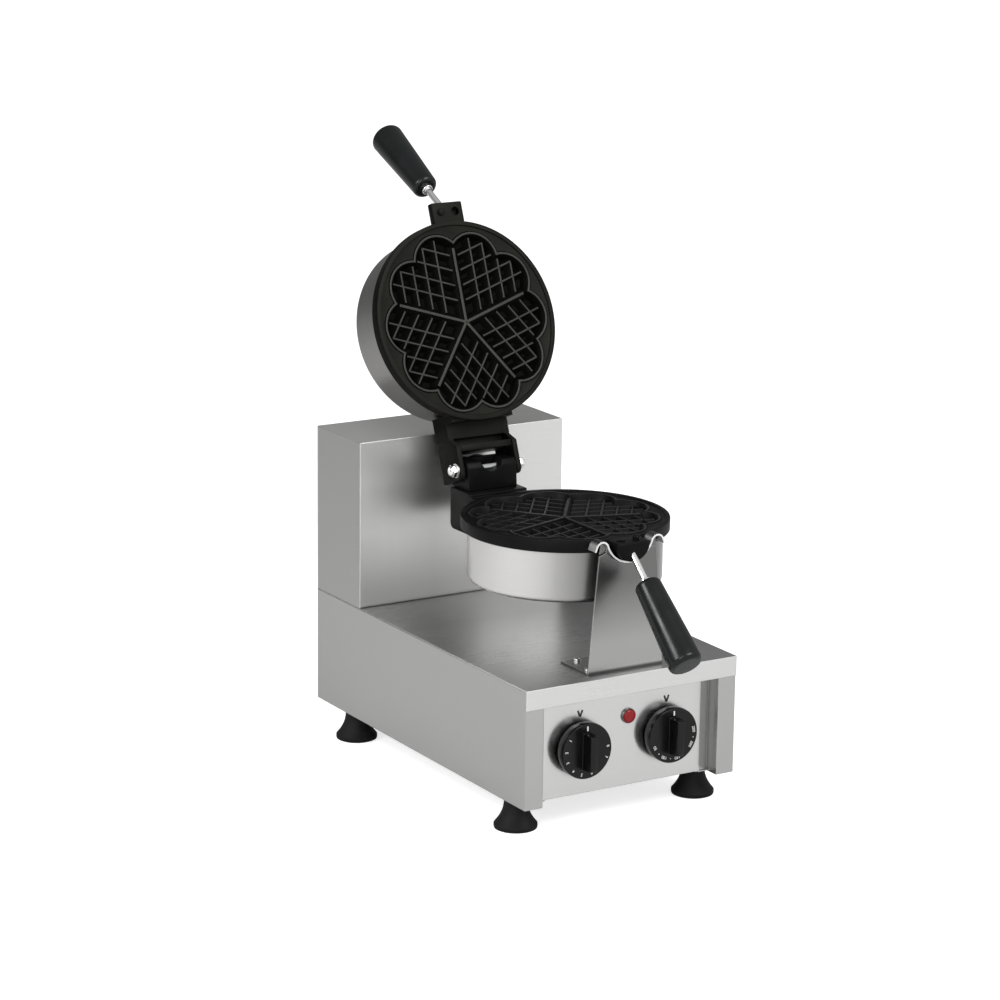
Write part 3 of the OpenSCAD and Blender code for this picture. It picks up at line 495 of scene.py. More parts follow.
# painted shade: the upper casting's flanks darker still
litCastUpper = castCoat("castCoatUpperLit", (0.0105, 0.0105, 0.0087), 0.44, (0.03, 0.03, 0.026), 0.05,
                     side=0.2)
shadedPocketUpper = castCoat("castPocketUpperShaded", (0.0024, 0.0024, 0.0021), 0.5, (0.005, 0.005, 0.0045),
                       0.025)
wornLitLineUpper = castCoat("castLineUpperWornLit", (0.03, 0.03, 0.027), 0.42, (0.05, 0.05, 0.045), 0.2)
chrome = polished("chromeSteel", (0.9, 0.9, 0.91), 0.08)
# painted shade: the hinge pin is a darkened copy of the chrome steel
pinSteelShaded = polished("pinSteelShaded", (0.42, 0.43, 0.42), 0.16)
zinc = polished("zincSteel", (0.62, 0.62, 0.62), 0.28)
turnedSteel = polished("turnedSteel", (0.2, 0.2, 0.2), 0.35)
bronze = polished("bushBronze", (0.16, 0.12, 0.07), 0.45)
gripBlack = moulded("gripPhenolic", (0.003, 0.0045, 0.0043), 0.26, bump=0.06, specular=0.28)
knobBlack = moulded("knobPhenolic", (0.0032, 0.0032, 0.0034), 0.22, bump=0.05, specular=0.28)
rubberBlack = moulded("footRubber", (0.007, 0.007, 0.007), 0.6, grain=2500, bump=0.3,
                      specular=0.15)
glandBlack = moulded("glandNylon", (0.02, 0.02, 0.021), 0.45)
lampRed = moulded("lampRed", (0.24, 0.012, 0.014), 0.22, bump=0.02, edgeColour=(0.3, 0.01, 0.01),
                  specular=0.25)
timerCase = moulded("timerCase", (0.36, 0.24, 0.12), 0.5)
ceramicCase = moulded("ceramicCase", (0.62, 0.59, 0.5), 0.6)
fibre = moulded("mineralFibre", (0.60, 0.57, 0.48), 0.9, grain=500, bump=0.9, specular=0.1)
heaterSheath = moulded("heaterSheath", (0.07, 0.065, 0.06), 0.5)
dialPrint = moulded("dialPrint", (0.78, 0.78, 0.76), 0.5)
panelPrint = moulded("panelPrint", (0.03, 0.03, 0.03), 0.5)
print("materials ready")

# mesh helpers: pieces are drawn in millimetres and scaled at the end, angles are degrees

meshSettings = {
    "sharpAngle": 30,
    "cutAngle": 35,
    "bevelAngle": 25,
    "tiny": 1e-6,
}

# sides of a turned shape
facets = {
    "dot": 16,
    "rod": 40,
    "bolt": 48,
    "bore": 64,
    "foot": 72,
    "knob": 96,
    "cover": 144,
}


def rotX(angle):
    return Matrix.Rotation(math.radians(angle), 4, "X")


def rotY(angle):
    return Matrix.Rotation(math.radians(angle), 4, "Y")


def shift(x, y, z):
    return Matrix.Translation((x, y, z))


def axisAlong(direction, x=0, y=0, z=0):
    turn = {"x": rotY(90), "y": rotX(-90), "-y": rotX(90)}[direction]
    return shift(x, y, z) @ turn


def markSharp(bm, angle):
    limit = math.radians(angle)
    for edge in bm.edges:
        edge.smooth = len(edge.link_faces) == 2 and edge.calc_face_angle(0) < limit


def toMesh(name, bm):
    mesh = bpy.data.meshes.new(name)
    bm.to_mesh(mesh)
    bm.free()
    return mesh


def toScene(name, data):
    made = bpy.data.objects.new(name, data)
    bpy.context.scene.collection.objects.link(made)
    return made


def toMetres(bm):
    bmesh.ops.scale(bm, vec=(mm, mm, mm), verts=bm.verts)
    bmesh.ops.recalc_face_normals(bm, faces=bm.faces)


def solidFrom(piece):
    bpy.context.view_layer.update()
    return bpy.data.meshes.new_from_object(
        piece.evaluated_get(bpy.context.evaluated_depsgraph_get()))


def makePiece(name, build, values, material, body, replaced, place=None):
    bm = bmesh.new()
    build(bm, values)
    if place is not None:
        bmesh.ops.transform(bm, matrix=place, verts=bm.verts)
    toMetres(bm)
    markSharp(bm, meshSettings["sharpAngle"])
    for face in bm.faces:
        face.smooth = True
    mesh = toMesh(name, bm)
    piece = toScene(name, mesh)
    mesh.materials.append(material)
    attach(piece, body)
    if replaced:
        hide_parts(*replaced)
    return piece


def movePiece(piece, place):
    scaled = place.copy()
    scaled.translation = place.translation * mm
    piece.data.transform(scaled)


def cutAway(piece, build, *values):
    bm = bmesh.new()
    build(bm, *values)
    toMetres(bm)
    tool = toScene("cutter", toMesh("cutter", bm))
    modifier = piece.modifiers.new("cut", "BOOLEAN")
    modifier.operation = "DIFFERENCE"
    modifier.solver = "EXACT"
    modifier.object = tool
    done = solidFrom(piece)
    piece.modifiers.clear()
    piece.data = done
    bpy.data.objects.remove(tool)
    bm = bmesh.new()
    bm.from_mesh(done)
    markSharp(bm, meshSettings["cutAngle"])
    bm.to_mesh(done)
    bm.free()


def addLoops(bm, loops):
    rows = [[bm.verts.new(p) for p in loop] for loop in loops]
    count = len(rows[0])
    for a, b in zip(rows, rows[1:]):
        for i in range(count):
            j = (i + 1) % count
            bm.faces.new((a[i], a[j], b[j], b[i]))
    bm.faces.new(list(reversed(rows[0])))
    bm.faces.new(rows[-1])
    return rows


def turned(bm, profile, steps, matrix=None):
    # profile: radius and height pairs, turned about z
    rows = []
    for r, z in profile:
        if r < meshSettings["tiny"]:
            rows.append([bm.verts.new((0, 0, z))])
        else:
            angles = [2 * math.pi * i / steps for i in range(steps)]
            rows.append([bm.verts.new((r * math.cos(a), r * math.sin(a), z)) for a in angles])
    for a, b in zip(rows, rows[1:]):
        for i in range(steps):
            j = (i + 1) % steps
            if len(a) == 1 and len(b) == 1:
                continue
            if len(a) == 1:
                bm.faces.new((a[0], b[j], b[i]))
            elif len(b) == 1:
                bm.faces.new((a[i], a[j], b[0]))
            else:
                bm.faces.new((a[i], a[j], b[j], b[i]))
    if matrix is not None:
        bmesh.ops.transform(bm, matrix=matrix, verts=[v for row in rows for v in row])


def arcPoints(cx, cy, r, start, end, count):
    angles = [math.radians(start + (end - start) * i / count) for i in range(count + 1)]
    return [(cx + r * math.cos(a), cy + r * math.sin(a)) for a in angles]


def hexagon(r):
    angles = [math.radians(60 * i) for i in range(6)]
    return [(r * math.cos(a), r * math.sin(a)) for a in angles]


def block(bm, x0, x1, y0, y1, z0, z1, matrix=None):
    made = bmesh.ops.create_cube(bm, size=1)["verts"]
    middle = shift((x0 + x1) / 2, (y0 + y1) / 2, (z0 + z1) / 2)
    shape = middle @ Matrix.Diagonal((x1 - x0, y1 - y0, z1 - z0, 1))
    bmesh.ops.transform(bm, matrix=shape, verts=made)
    if matrix is not None:
        bmesh.ops.transform(bm, matrix=matrix, verts=made)


def prism(bm, outline, low, high, axis="z", bevel=0.0, segments=2, matrix=None):
    def point(u, v, w):
        return {"z": (u, v, w), "x": (w, u, v), "y": (u, w, v)}[axis]
    bottom = [bm.verts.new(point(u, v, low)) for u, v in outline]
    top = [bm.verts.new(point(u, v, high)) for u, v in outline]
    count = len(outline)
    faces = [bm.faces.new(bottom[::-1]), bm.faces.new(top)]
    for i in range(count):
        j = (i + 1) % count
        faces.append(bm.faces.new((bottom[i], bottom[j], top[j], top[i])))
    made = bottom + top
    bmesh.ops.recalc_face_normals(bm, faces=faces)
    if bevel:
        limit = math.radians(meshSettings["bevelAngle"])
        around = dict.fromkeys(e for f in faces for e in f.edges)
        edges = [e for e in around if e.calc_face_angle(0) > limit]
        result = bmesh.ops.bevel(bm, geom=edges, offset=bevel, segments=segments, profile=0.5,
                                 affect="EDGES")
        kept = {v for v in made if v.is_valid}
        made = list({v for f in result["faces"] for v in f.verts} | kept)
    if matrix is not None:
        bmesh.ops.transform(bm, matrix=matrix, verts=made)


# where the two plates sit

plateLayout = {
    "centreY": -74.3,
    "rimHeight": 255.8,
    "pinY": 62.5,
    "pinZ": 270.4,
    "openAngle": 111.5,
    "pinBack": 136.8,
    "pinUp": 14.2,
}


def lowerSeat(s):
    return shift(0, s["centreY"], s["rimHeight"])


def upperSeat(s):
    # the upper plate is the lower one turned over about the pin
    return (shift(0, s["pinY"], s["pinZ"]) @ rotX(-s["openAngle"])
            @ shift(0, -s["pinBack"], -s["pinUp"]) @ Matrix.Rotation(math.pi, 4, "Y"))


lowerPlace = lowerSeat(plateLayout)
upperPlace = upperSeat(plateLayout)
plates = (("lower", lowerPlace, "rotor", shadedCastLower, shadedPocketLower, wornLitLineLower),
          ("upper", upperPlace, "lid", litCastUpper, shadedPocketUpper, wornLitLineUpper))

# heart pattern: ten lobes in a ring make five hearts

heartSettings = {
    "lobes": 10,
    "lobeRing": 59.7,
    "lobeRadius": 25.3,
    "shift": 1.5,
    "pointsPerLobe": 16,
    "recess": 10,
    "overlap": 0.05,
    "ribLength": 70,
    "ribTop": -2.6,
    "ribEnd": 3.5,
    "ridgeTop": -3.6,
    "ridgeFirst": 18.6,
    "ridgePitch": 13.5,
    "ridgeCount": 4,
    "ridgeMargin": 3.5,
    "ridgeGap": 4.5,
    "ridgeWidth": 0.9,
    "ridgeStart": 3.8,
    "ridgeEnd": 3.0,
}

# surfaces of a casting face, by the place of their material; the pocket material is painted shade,
# the line material is lighter, partly as wear and partly as painted light
finishPlaces = {"land": 0, "pocket": 1, "line": 2}


def lobeLoop(s, grow, z):
    radius = s["lobeRadius"] + grow
    ring = s["lobeRing"]
    half = math.pi / s["lobes"]
    reach = ring * math.cos(half) + math.sqrt(radius ** 2 - (ring * math.sin(half)) ** 2)
    most = math.atan2(reach * math.sin(half), reach * math.cos(half) - ring)
    loop = []
    count = s["pointsPerLobe"]
    for lobe in range(s["lobes"]):
        turn = 2 * half * lobe
        for i in range(count):
            angle = -most + 2 * most * i / count
            x = ring + radius * math.cos(angle)
            y = radius * math.sin(angle)
            loop.append((x * math.cos(turn) - y * math.sin(turn),
                         x * math.sin(turn) + y * math.cos(turn) + s["shift"], z))
    return loop


def roundLoop(s, radius, z):
    return [(radius * math.cos(a), radius * math.sin(a), z)
            for a in (math.atan2(p[1], p[0]) for p in lobeLoop(s, 0, 0))]


def castingFace(bm, s):
    floor = -s["recess"]
    # growth of the lobes and height, from the pocket's floor to the groove round the bead
    wall = [(-5.0, floor), (-4.4, floor + 0.15), (-1.8, -3.9), (-1.0, -1.6), (-0.4, -0.75),
            (0.2, -0.5), (1.1, -0.5), (1.5, -0.7), (1.7, -1.6), (2.1, -1.75), (2.5, -1.3)]
    # radius and height, from the land over the rim to the boss at the back
    rim = [(89.4, -1.3), (89.75, -1.1), (89.95, -0.15), (90.2, 0), (93.4, 0), (93.85, -0.15),
           (94, -0.6), (94, -10.5), (93.6, -11), (88.3, -11), (85, -11), (85, -24), (12, -24),
           (12, -33.5), (11.5, -34)]
    loops = [lobeLoop(s, grow, z) for grow, z in wall] + [roundLoop(s, r, z) for r, z in rim]
    addLoops(bm, loops)
    # pocket wall, bead, groove, land and rim step, from the inside out
    # painted shade in the pocket walls, groove and rim step through the pocket material; the bead
    # gets the lighter line material
    bands = ["pocket"] * 4 + ["line"] * 3 + ["pocket"] * 3 + ["land"] + ["pocket"] * 2
    count = len(loops[0])
    for i, face in enumerate(bm.faces):
        band = i // count
        face.material_index = finishPlaces[bands[band] if band < len(bands) else "land"]
        isFloor = len(face.verts) > 4 and face.calc_center_median().z > floor - s["overlap"]
        if isFloor:
            face.material_index = finishPlaces["pocket"]


def ridge(bm, length, start, offset, profile, turn, startCut, endCut, rise):
    # profile: half width and height pairs, from the top down
    rows = []
    top = profile[0][1]
    base = profile[-1][1]
    for half, z in profile:
        lean = (top - z) / (top - base)
        x0 = start - startCut * lean
        x1 = length + endCut * lean
        y0, y1 = offset - half, offset + half
        rows.append([(x0, y0, z), (x1, y0, z), (x1, y1, z), (x0, y1, z)])
    verts = [v for row in addLoops(bm, rows) for v in row]
    for face in {f for v in verts for f in v.link_faces}:
        # ridge tops get the lighter line material, partly wear and partly painted light; their
        # flanks get the pocket material as painted shade
        onTop = face.calc_center_median().z > top - 0.3
        face.material_index = finishPlaces["line" if onTop else "pocket"]
    place = shift(0, rise, 0) @ Matrix.Rotation(math.radians(turn), 4, "Z")
    bmesh.ops.transform(bm, matrix=place, verts=verts)


def lobeEnd(s, distance, angle):
    radius = s["lobeRadius"] - s["ridgeMargin"]
    y = abs(distance - s["lobeRing"] * math.sin(math.radians(angle))) + s["ridgeWidth"]
    if y >= radius:
        return 0
    return s["lobeRing"] * math.cos(math.radians(angle)) + math.sqrt(radius ** 2 - y ** 2)


def lattice(bm, s):
    floor = -s["recess"] - s["overlap"]
    rib, top = s["ribTop"], s["ridgeTop"]
    ribShape = [(0.95, rib), (1.35, rib - 0.35), (1.7, -4.6), (2.9, -5.2), (6.2, floor)]
    ridgeShape = [(0.45, top), (0.8, top - 0.25), (5.1, floor)]
    rise = s["shift"]
    step = 72  # degrees from one rib to the next; the lobes' middles lie 18 and 54 off a rib
    for i in range(5):
        base = -90 + step * i
        ridge(bm, s["ribLength"], 0, 0, ribShape, base, 0, s["ribEnd"], rise)
        for k in range(s["ridgeCount"]):
            d = s["ridgeFirst"] + k * s["ridgePitch"]
            x = d / math.tan(math.radians(step)) + s["ridgeGap"]
            end = max(lobeEnd(s, d, 18), lobeEnd(s, d, 54))
            cuts = s["ridgeStart"], s["ridgeEnd"], rise
            ridge(bm, end, x, d, ridgeShape, base, *cuts)
            ridge(bm, end, x, -d, ridgeShape, base + step, *cuts)


# castings: the lug at the front, the hinge at the back

lugSettings = {
    "half": 16.2,
    "radius": 17.6,
    "root": 92.2,
    "tip": 112,
    "pegX": 8,
    "pegY": -102.9,
    "edge": 1.1,
}

backSettings = {
    "tabHalf": 30.4,
    "blockHalf": 26,
    "roofHalf": 28.4,
    "earInner": 27.8,
    "earOuter": 32.6,
    "holeRadius": 4.05,
    "holeHalf": 60,
    "holeY": 136.8,
    "holeZ": 14.6,
    "notchRadius": 11.5,
    "notchEnds": (100, 145.5),
    "notchZ": 24.4,
}


def lug(bm, s):
    side = math.degrees(math.acos(s["half"] / s["radius"]))
    outline = [(s["half"], 0), *arcPoints(0, 0, s["radius"], -side, -180 + side, 24),
               (-s["half"], 0)]
    prism(bm, outline, -s["tip"], -s["root"], axis="y", bevel=s["edge"], segments=3)


def lugHole(bm, s):
    profile = [(0, -6), (4, -6), (4, -0.5), (5, 0.5), (5, 2), (0, 2)]
    turned(bm, profile, facets["rod"], shift(-s["pegX"], s["pegY"], 0))


def peg(bm, s):
    profile = [(0, -2), (3.3, -2), (3.3, 2.5), (3.1, 2.8), (2.5, 3.6), (2.1, 3.8), (0, 3.8)]
    turned(bm, profile, facets["rod"], shift(s["pegX"], s["pegY"], 0))


def lowerBack(bm, s):
    tab = [(84.4, -43), (145.5, -43), *arcPoints(145.5, -37, 6, -90, 0, 8)[1:], (151.5, -4),
           (114, -4), (114, -7), (84.4, -7)]
    prism(bm, tab, -s["tabHalf"], s["tabHalf"], axis="x", bevel=0.9)


def hingeBlock(bm, s):
    side = [(124.4, -4.2), (151.5, -4.2), (151.5, 22.4), (129, 22.4), (126, 17.9)]
    prism(bm, side, -s["blockHalf"], s["blockHalf"], axis="x", bevel=1.1, segments=3)


def notch(bm, s):
    r = s["notchRadius"]
    y0, y1 = s["notchEnds"]
    turned(bm, [(0, y0), (r, y0), (r, y1), (0, y1)], facets["bore"],
           axisAlong("y", 0, 0, s["notchZ"]))


def pinHole(bm, s):
    r, h = s["holeRadius"], s["holeHalf"]
    turned(bm, [(0, -h), (r, -h), (r, h), (0, h)], facets["rod"],
           axisAlong("x", 0, s["holeY"], s["holeZ"]))


def upperBack(bm, s):
    roof = [(84.4, -42), (120.2, -42), (120.2, -9.5), (114.1, -9.5), (114.1, -25.2),
            (107.2, -25.2), (107.2, -17.2), (92.6, -17.2), (92.6, -5.5), (84.4, -5.5)]
    cheek = [(84.4, -42), (107.3, -42), (107.3, -17.2), (92.6, -17.2), (92.6, -5.5), (84.4, -5.5)]
    ear = [(107.2, -42), (146.5, -42), *arcPoints(140.5, -12.4, 6, 0, 90, 10), (115.3, -6.4),
           (107.7, -17.2), (107.2, -17.2)]
    prism(bm, roof, -s["roofHalf"], s["roofHalf"], axis="x", bevel=0.9)
    for sign in (-1, 1):
        low, high = sorted((sign * s["earInner"], sign * s["earOuter"]))
        prism(bm, cheek, low, high, axis="x")
        prism(bm, ear, low, high, axis="x", bevel=0.8)


def castPart(name, build, values, material, body, node, place=None):
    return makePiece(name, build, values, material, body, (node,), place)


def front(bm, s):
    castingFace(bm, s)
    lattice(bm, s)


def makeCasting(name, place, body, material, pocket, line):
    node = name + "_plate"
    piece = castPart(name + "Casting", front, heartSettings, material, body, node, place)
    piece.data.materials.append(pocket)
    piece.data.materials.append(line)
    piece = castPart(name + "Lug", lug, lugSettings, material, body, node)
    cutAway(piece, lugHole, lugSettings)
    movePiece(piece, place)
    castPart(name + "Peg", peg, lugSettings, material, body, node, place)
    back = lowerBack if name == "lower" else upperBack
    castPart(name + "Back", back, backSettings, material, body, node, place)


for plate in plates:
    makeCasting(*plate)
piece = castPart("hingeBlock", hingeBlock, backSettings, shadedCastLower, "rotor", "lower_plate")
cutAway(piece, notch, backSettings)
cutAway(piece, pinHole, backSettings)
movePiece(piece, lowerPlace)
print("castings made")

# covers and handles

coverSettings = {
    "radius": 88,
    "depth": 58.3,
    "corner": 5,
    "wall": 1.2,
    "seat": -11.05,
    "nutRadius": 6.5,
    "nutEnds": (-62.3, -58.3),
}

handleSettings = {
    "tip": -112,
    "drop": -13,
    "slope": 132,
    "rodRadius": 3,
    "rodStart": -9,
    "rodInside": 60,
    "bare": 27.5,
    "length": 87,
    "startRadius": 12,
    "endRadius": 15.5,
    "rounding": 4.5,
    "ferruleBore": 3.05,
    "ferruleRadius": 5.2,
    "ferruleEdge": 0.5,
    "ferruleLength": 3,
}


def pan(bm, s):
    r, h, c, w, seat = (s[k] for k in ("radius", "depth", "corner", "wall", "seat"))
    outer = [*arcPoints(r - c, -h + c, c, 0, -90, 12), (0, -h)]
    inner = [(0, -h + w), *arcPoints(r - c, -h + c, c - w, -90, 0, 12), (r - w, seat)]
    turned(bm, [(r - w, seat), (r, seat), *outer, *inner], facets["cover"])


def coverBolt(bm, s):
    end = [(0, -65.6), (2.5, -65.3), (4, -64.4), (4.7, -63), (4.7, -61.5), (0, -61.5)]
    turned(bm, end, facets["bolt"])
    prism(bm, hexagon(s["nutRadius"]), *s["nutEnds"], bevel=0.35)


def handlePlace(s):
    return shift(0, s["tip"], s["drop"]) @ rotX(s["slope"])


def rod(bm, s):
    r, start, end = s["rodRadius"], s["rodStart"], s["bare"] + s["rodInside"]
    turned(bm, [(0, start), (r, start), (r, end), (0, end)], facets["rod"])


def ferrule(bm, s):
    bore, r, edge = s["ferruleBore"], s["ferruleRadius"], s["ferruleEdge"]
    end = s["bare"]
    start = end - s["ferruleLength"]
    turned(bm, [(bore, start), (r - edge, start), (r, start + edge), (r, end), (bore, end),
                (bore, start)], facets["bolt"])


def grip(bm, s):
    z0, z1 = s["bare"], s["bare"] + s["length"]
    c = s["rounding"]
    profile = [(0, z0), *arcPoints(s["startRadius"] - c, z0 + c, c, -90, 0, 10)]
    last = arcPoints(s["endRadius"] - c, z1 - c, c, 0, 90, 12)
    r0, h0 = profile[-1]
    r1, h1 = last[0]
    rings = 12
    for i in range(1, rings):
        t = i / rings
        profile.append((r0 + (r1 - r0) * t, h0 + (h1 - h0) * t))
    turned(bm, [*profile, *last, (0, z1)], facets["knob"])


handleParts = (("Rod", rod, chrome, "chrome_steel"), ("Grip", grip, gripBlack, "grip_plastic"),
               ("Ferrule", ferrule, chrome, "chrome_steel"))
for name, place, body, *_ in plates:
    finish = steelCover if name == "lower" else steelCoverTiltedShaded
    makePiece(name + "Cover", pan, coverSettings, finish, body, (name + "_pan_cover",),
              place)
    makePiece(name + "CoverBolt", coverBolt, coverSettings, zinc, body, (name + "_cover_bolt",),
              place)
    for part, build, finish, slotName in handleParts:
        makePiece(name + part, build, handleSettings, finish, body,
                  (f"{name}_handle_{part.lower()}",),
                  place @ handlePlace(handleSettings))
print("covers and handles made")

# hinge hardware

hingeSettings = {
    "pinRadius": 4,
    "pinHalf": 37.1,
    "pinEdge": 1,
    "earOuter": 32.6,
    "washer": 1,
    "washerRadius": 6.6,
    "nutRadius": 6.2,
    "nutHeight": 4.5,
    "nutEdge": 0.7,
    "domeRadius": 4.9,
    "domeHeight": 2.8,
    "domeSink": 0.6,
}
pinAxis = axisAlong("x", 0, plateLayout["pinY"], plateLayout["pinZ"])


def pin(bm, s):
    r, h, c = s["pinRadius"], s["pinHalf"], s["pinEdge"]
    turned(bm, [(0, -h), (r - c, -h), (r, -h + c), (r, h - c), (r - c, h), (0, h)],
           facets["bolt"], pinAxis)


def washers(bm, s):
    bore, r = s["pinRadius"], s["washerRadius"]
    for sign in (-1, 1):
        x0 = sign * s["earOuter"]
        x1 = sign * (s["earOuter"] + s["washer"])
        turned(bm, [(bore, x0), (r, x0), (r, x1), (bore, x1), (bore, x0)], facets["bolt"], pinAxis)


def nuts(bm, s):
    x0 = s["earOuter"] + s["washer"]
    x1 = x0 + s["nutHeight"]
    r, h = s["domeRadius"], s["domeHeight"]
    place = shift(0, plateLayout["pinY"], plateLayout["pinZ"])
    for sign in (-1, 1):
        low, high = sorted((sign * x0, sign * x1))
        prism(bm, hexagon(s["nutRadius"]), low, high, axis="x", bevel=s["nutEdge"], segments=3,
              matrix=place)
        sunk = sign * (x1 - s["domeSink"])
        dome = [(r, sunk), (r, sign * x1)]
        for angle in (15, 30, 45, 60, 75):
            a = math.radians(angle)
            dome.append((r * math.cos(a), sign * (x1 + h * math.sin(a))))
        turned(bm, [(0, sunk), *dome, (0, sign * (x1 + h))], facets["bolt"], pinAxis)


for name, build, finish, nodeName, slotName in (
        ("hingePin", pin, pinSteelShaded, "hinge_pin", "chrome_steel"),
        ("hingeWashers", washers, zinc, "hinge_washers", "fastener_steel"),
        ("hingeNuts", nuts, chrome, "hinge_nuts", "chrome_steel")):
    makePiece(name, build, hingeSettings, finish, "lid", (nodeName,))
print("hinge made")

# cradle strip: a saddle between two humps, with a straight tail at each end

saddleSettings = {
    "height": 256,
    "rearY": -168.8,
    "depth": 11.5,
    "thickness": 1.6,
    "radius": 23.4,
    "up": 5.3,
    "humpRadius": 5.2,
    "humpDrop": -4.3,
    "tail": 4.3,
    "lean": 20,
    "overlapAngle": 5,
    "humpSteps": 24,
    "saddleSteps": 40,
}


def saddle(bm, s):
    t, r, h, dz, up = (s[k] for k in ("thickness", "radius", "humpRadius", "humpDrop", "up"))
    few, many = s["humpSteps"], s["saddleSteps"]
    dx = math.sqrt((r + h + t) ** 2 - (up - dz) ** 2)
    turn = math.degrees(math.atan2(up - dz, dx))
    near = turn + s["overlapAngle"]
    last = 180 - s["lean"]
    a = math.radians(last)
    tails = [(-dx + (h + w) * math.cos(a) - s["tail"] * math.sin(a),
              dz + (h + w) * math.sin(a) + s["tail"] * math.cos(a)) for w in (t, 0)]
    outer = [tails[0], *arcPoints(-dx, dz, h + t, last, turn, few),
             *arcPoints(0, up, r, 180 + near, 360 - near, many),
             *arcPoints(dx, dz, h + t, 180 - turn, s["lean"], few), (-tails[0][0], tails[0][1])]
    inner = [(-tails[1][0], tails[1][1]), *arcPoints(dx, dz, h, s["lean"], 180 - turn, few),
             *arcPoints(0, up, r + t, 360 - near, 180 + near, many),
             *arcPoints(-dx, dz, h, turn, last, few), tails[1]]
    prism(bm, outer + inner, s["rearY"] - s["depth"], s["rearY"], axis="y",
          matrix=shift(0, 0, s["height"]))


makePiece("saddleStrip", saddle, saddleSettings, stripSteelLitShaded, "base", ("cradle_saddle",))
print("saddle made")

# controls

knobSettings = {
    "x": 45.5,
    "z": 73,
    "faceY": -188,
    "backY": -175.8,
    "radius": 25.5,
    "gripY": -200,
    "gripHalf": 4.7,
    "gripReach": 16.9,
    "numberRadius": 21.3,
    "numberSize": 4,
    "numberDepth": 0.06,
    "numberLift": 0.02,
    "dotRadius": 0.45,
    "dotLift": 0.1,
    "tickHalf": 0.65,
    "tickEnds": (18.6, 22.8),
    "tickLift": 0.12,
    "printSink": 0.2,
}

# angles clockwise from the top
dialMarks = {
    "timer": {
        "numbers": [("1", 305), ("2", 275), ("3", 249), ("4", 221), ("5", 195), ("6", 167),
                    ("7", 112), ("8", 85)],
        "dots": [],
    },
    "thermostat": {
        "numbers": [("250", 82), ("200", 120), ("150", 168), ("100", 207), ("50", 246)],
        "dots": [226, 188, 102],
    },
}


def knobBody(bm, s):
    r, face, back = s["radius"], s["faceY"], s["backY"]
    profile = [(0, back + 4), (6, back + 4), (6, back), (7, back), (7, face + 4),
               (20.5, face + 4), (21.5, back), (r - 2, back), (r - 1.8, back - 0.4),
               (r, face + 7), (r, face + 1.1), (r - 0.35, face + 0.35), (r - 1.1, face),
               (r - 1.9, face + 0.15), (0, face + 0.15)]
    turned(bm, [(a, -b) for a, b in profile], facets["knob"], axisAlong("-y"))


def gripOutline(half, reach, y):
    a = math.degrees(math.asin(half / reach))
    top = arcPoints(0, 0, reach, 90 - a, 90 + a, 12)
    bottom = arcPoints(0, 0, reach, 270 - a, 270 + a, 12)
    return [(x, y, z) for x, z in top + bottom]


def knobGrip(bm, s):
    face, tip, half, reach = s["faceY"], s["gripY"], s["gripHalf"], s["gripReach"]
    steps = [(half, reach, face + 1), (half - 0.2, reach, face - 0.6),
             (half - 0.9, reach - 0.3, face - 9.4), (half - 1.2, reach - 0.7, face - 11),
             (half - 1.7, reach - 1.2, face - 11.7), (half - 2.5, reach - 2, tip)]
    addLoops(bm, [gripOutline(*row) for row in steps])


def knob(bm, s):
    knobBody(bm, s)
    knobGrip(bm, s)


def knobTick(bm, s):
    half, y = s["tickHalf"], s["faceY"]
    block(bm, -half, half, y - s["tickLift"], y + s["printSink"], *s["tickEnds"])


def knobDot(bm, s, angle):
    r, y0, y1 = s["dotRadius"], s["faceY"] - s["dotLift"], s["faceY"] + s["printSink"]
    turned(bm, [(0, y0), (r, y0), (r, y1), (0, y1)], facets["dot"],
           rotY(angle) @ shift(0, 0, s["numberRadius"]) @ axisAlong("y"))


def numberMesh(text, angle, s):
    curve = bpy.data.curves.new("number", "FONT")
    curve.body = text
    curve.size = s["numberSize"]
    curve.align_x = "CENTER"
    curve.align_y = "CENTER"
    curve.extrude = s["numberDepth"]
    holder = toScene("number", curve)
    mesh = solidFrom(holder)
    bpy.data.objects.remove(holder)
    place = shift(0, s["faceY"] - s["numberLift"], s["numberRadius"])
    mesh.transform(rotY(angle) @ place @ rotX(90))
    return mesh


def dialPrints(bm, s):
    knobTick(bm, s)
    for text, angle in s["numbers"]:
        bm.from_mesh(numberMesh(text, angle, s))
    for angle in s["dots"]:
        knobDot(bm, s, angle)


for kind, sign, body in (("timer", -1, "timer_dial"), ("thermostat", 1, "thermostat_dial")):
    place = shift(sign * knobSettings["x"], 0, knobSettings["z"])
    makePiece(kind + "Knob", knob, knobSettings, knobBlack, body, (kind + "_knob",),
              place)
    makePiece(kind + "Print", dialPrints, {**knobSettings, **dialMarks[kind]}, dialPrint, body, (),
              place)

pointerSettings = {
    "y": -175.06,
    "z": 104.2,
    "apart": 1.25,
    "lean": 22,
    "half": 0.95,
    "depth": (-0.05, 0.06),
    "reach": 3.1,
}


def pointerMarks(bm, s):
    half, reach = s["half"], s["reach"]
    for sign in (-1, 1):
        for side in (-1, 1):
            x = sign * knobSettings["x"] + side * s["apart"]
            place = shift(x, s["y"], s["z"]) @ rotY(side * s["lean"])
            block(bm, -half, half, *s["depth"], -reach, reach, place)


makePiece("pointerMarks", pointerMarks, pointerSettings, panelPrint, "base", ())

lampSettings = {
    "x": 5,
    "z": 94.5,
    "panelY": -175,
    "radius": 6.9,
    "bore": 6.3,
    "play": 0.02,
    "lensStart": 1.6,
    "lensRim": 1.9,
    "lensTop": 4.8,
    "domeHeight": 2.9,
}


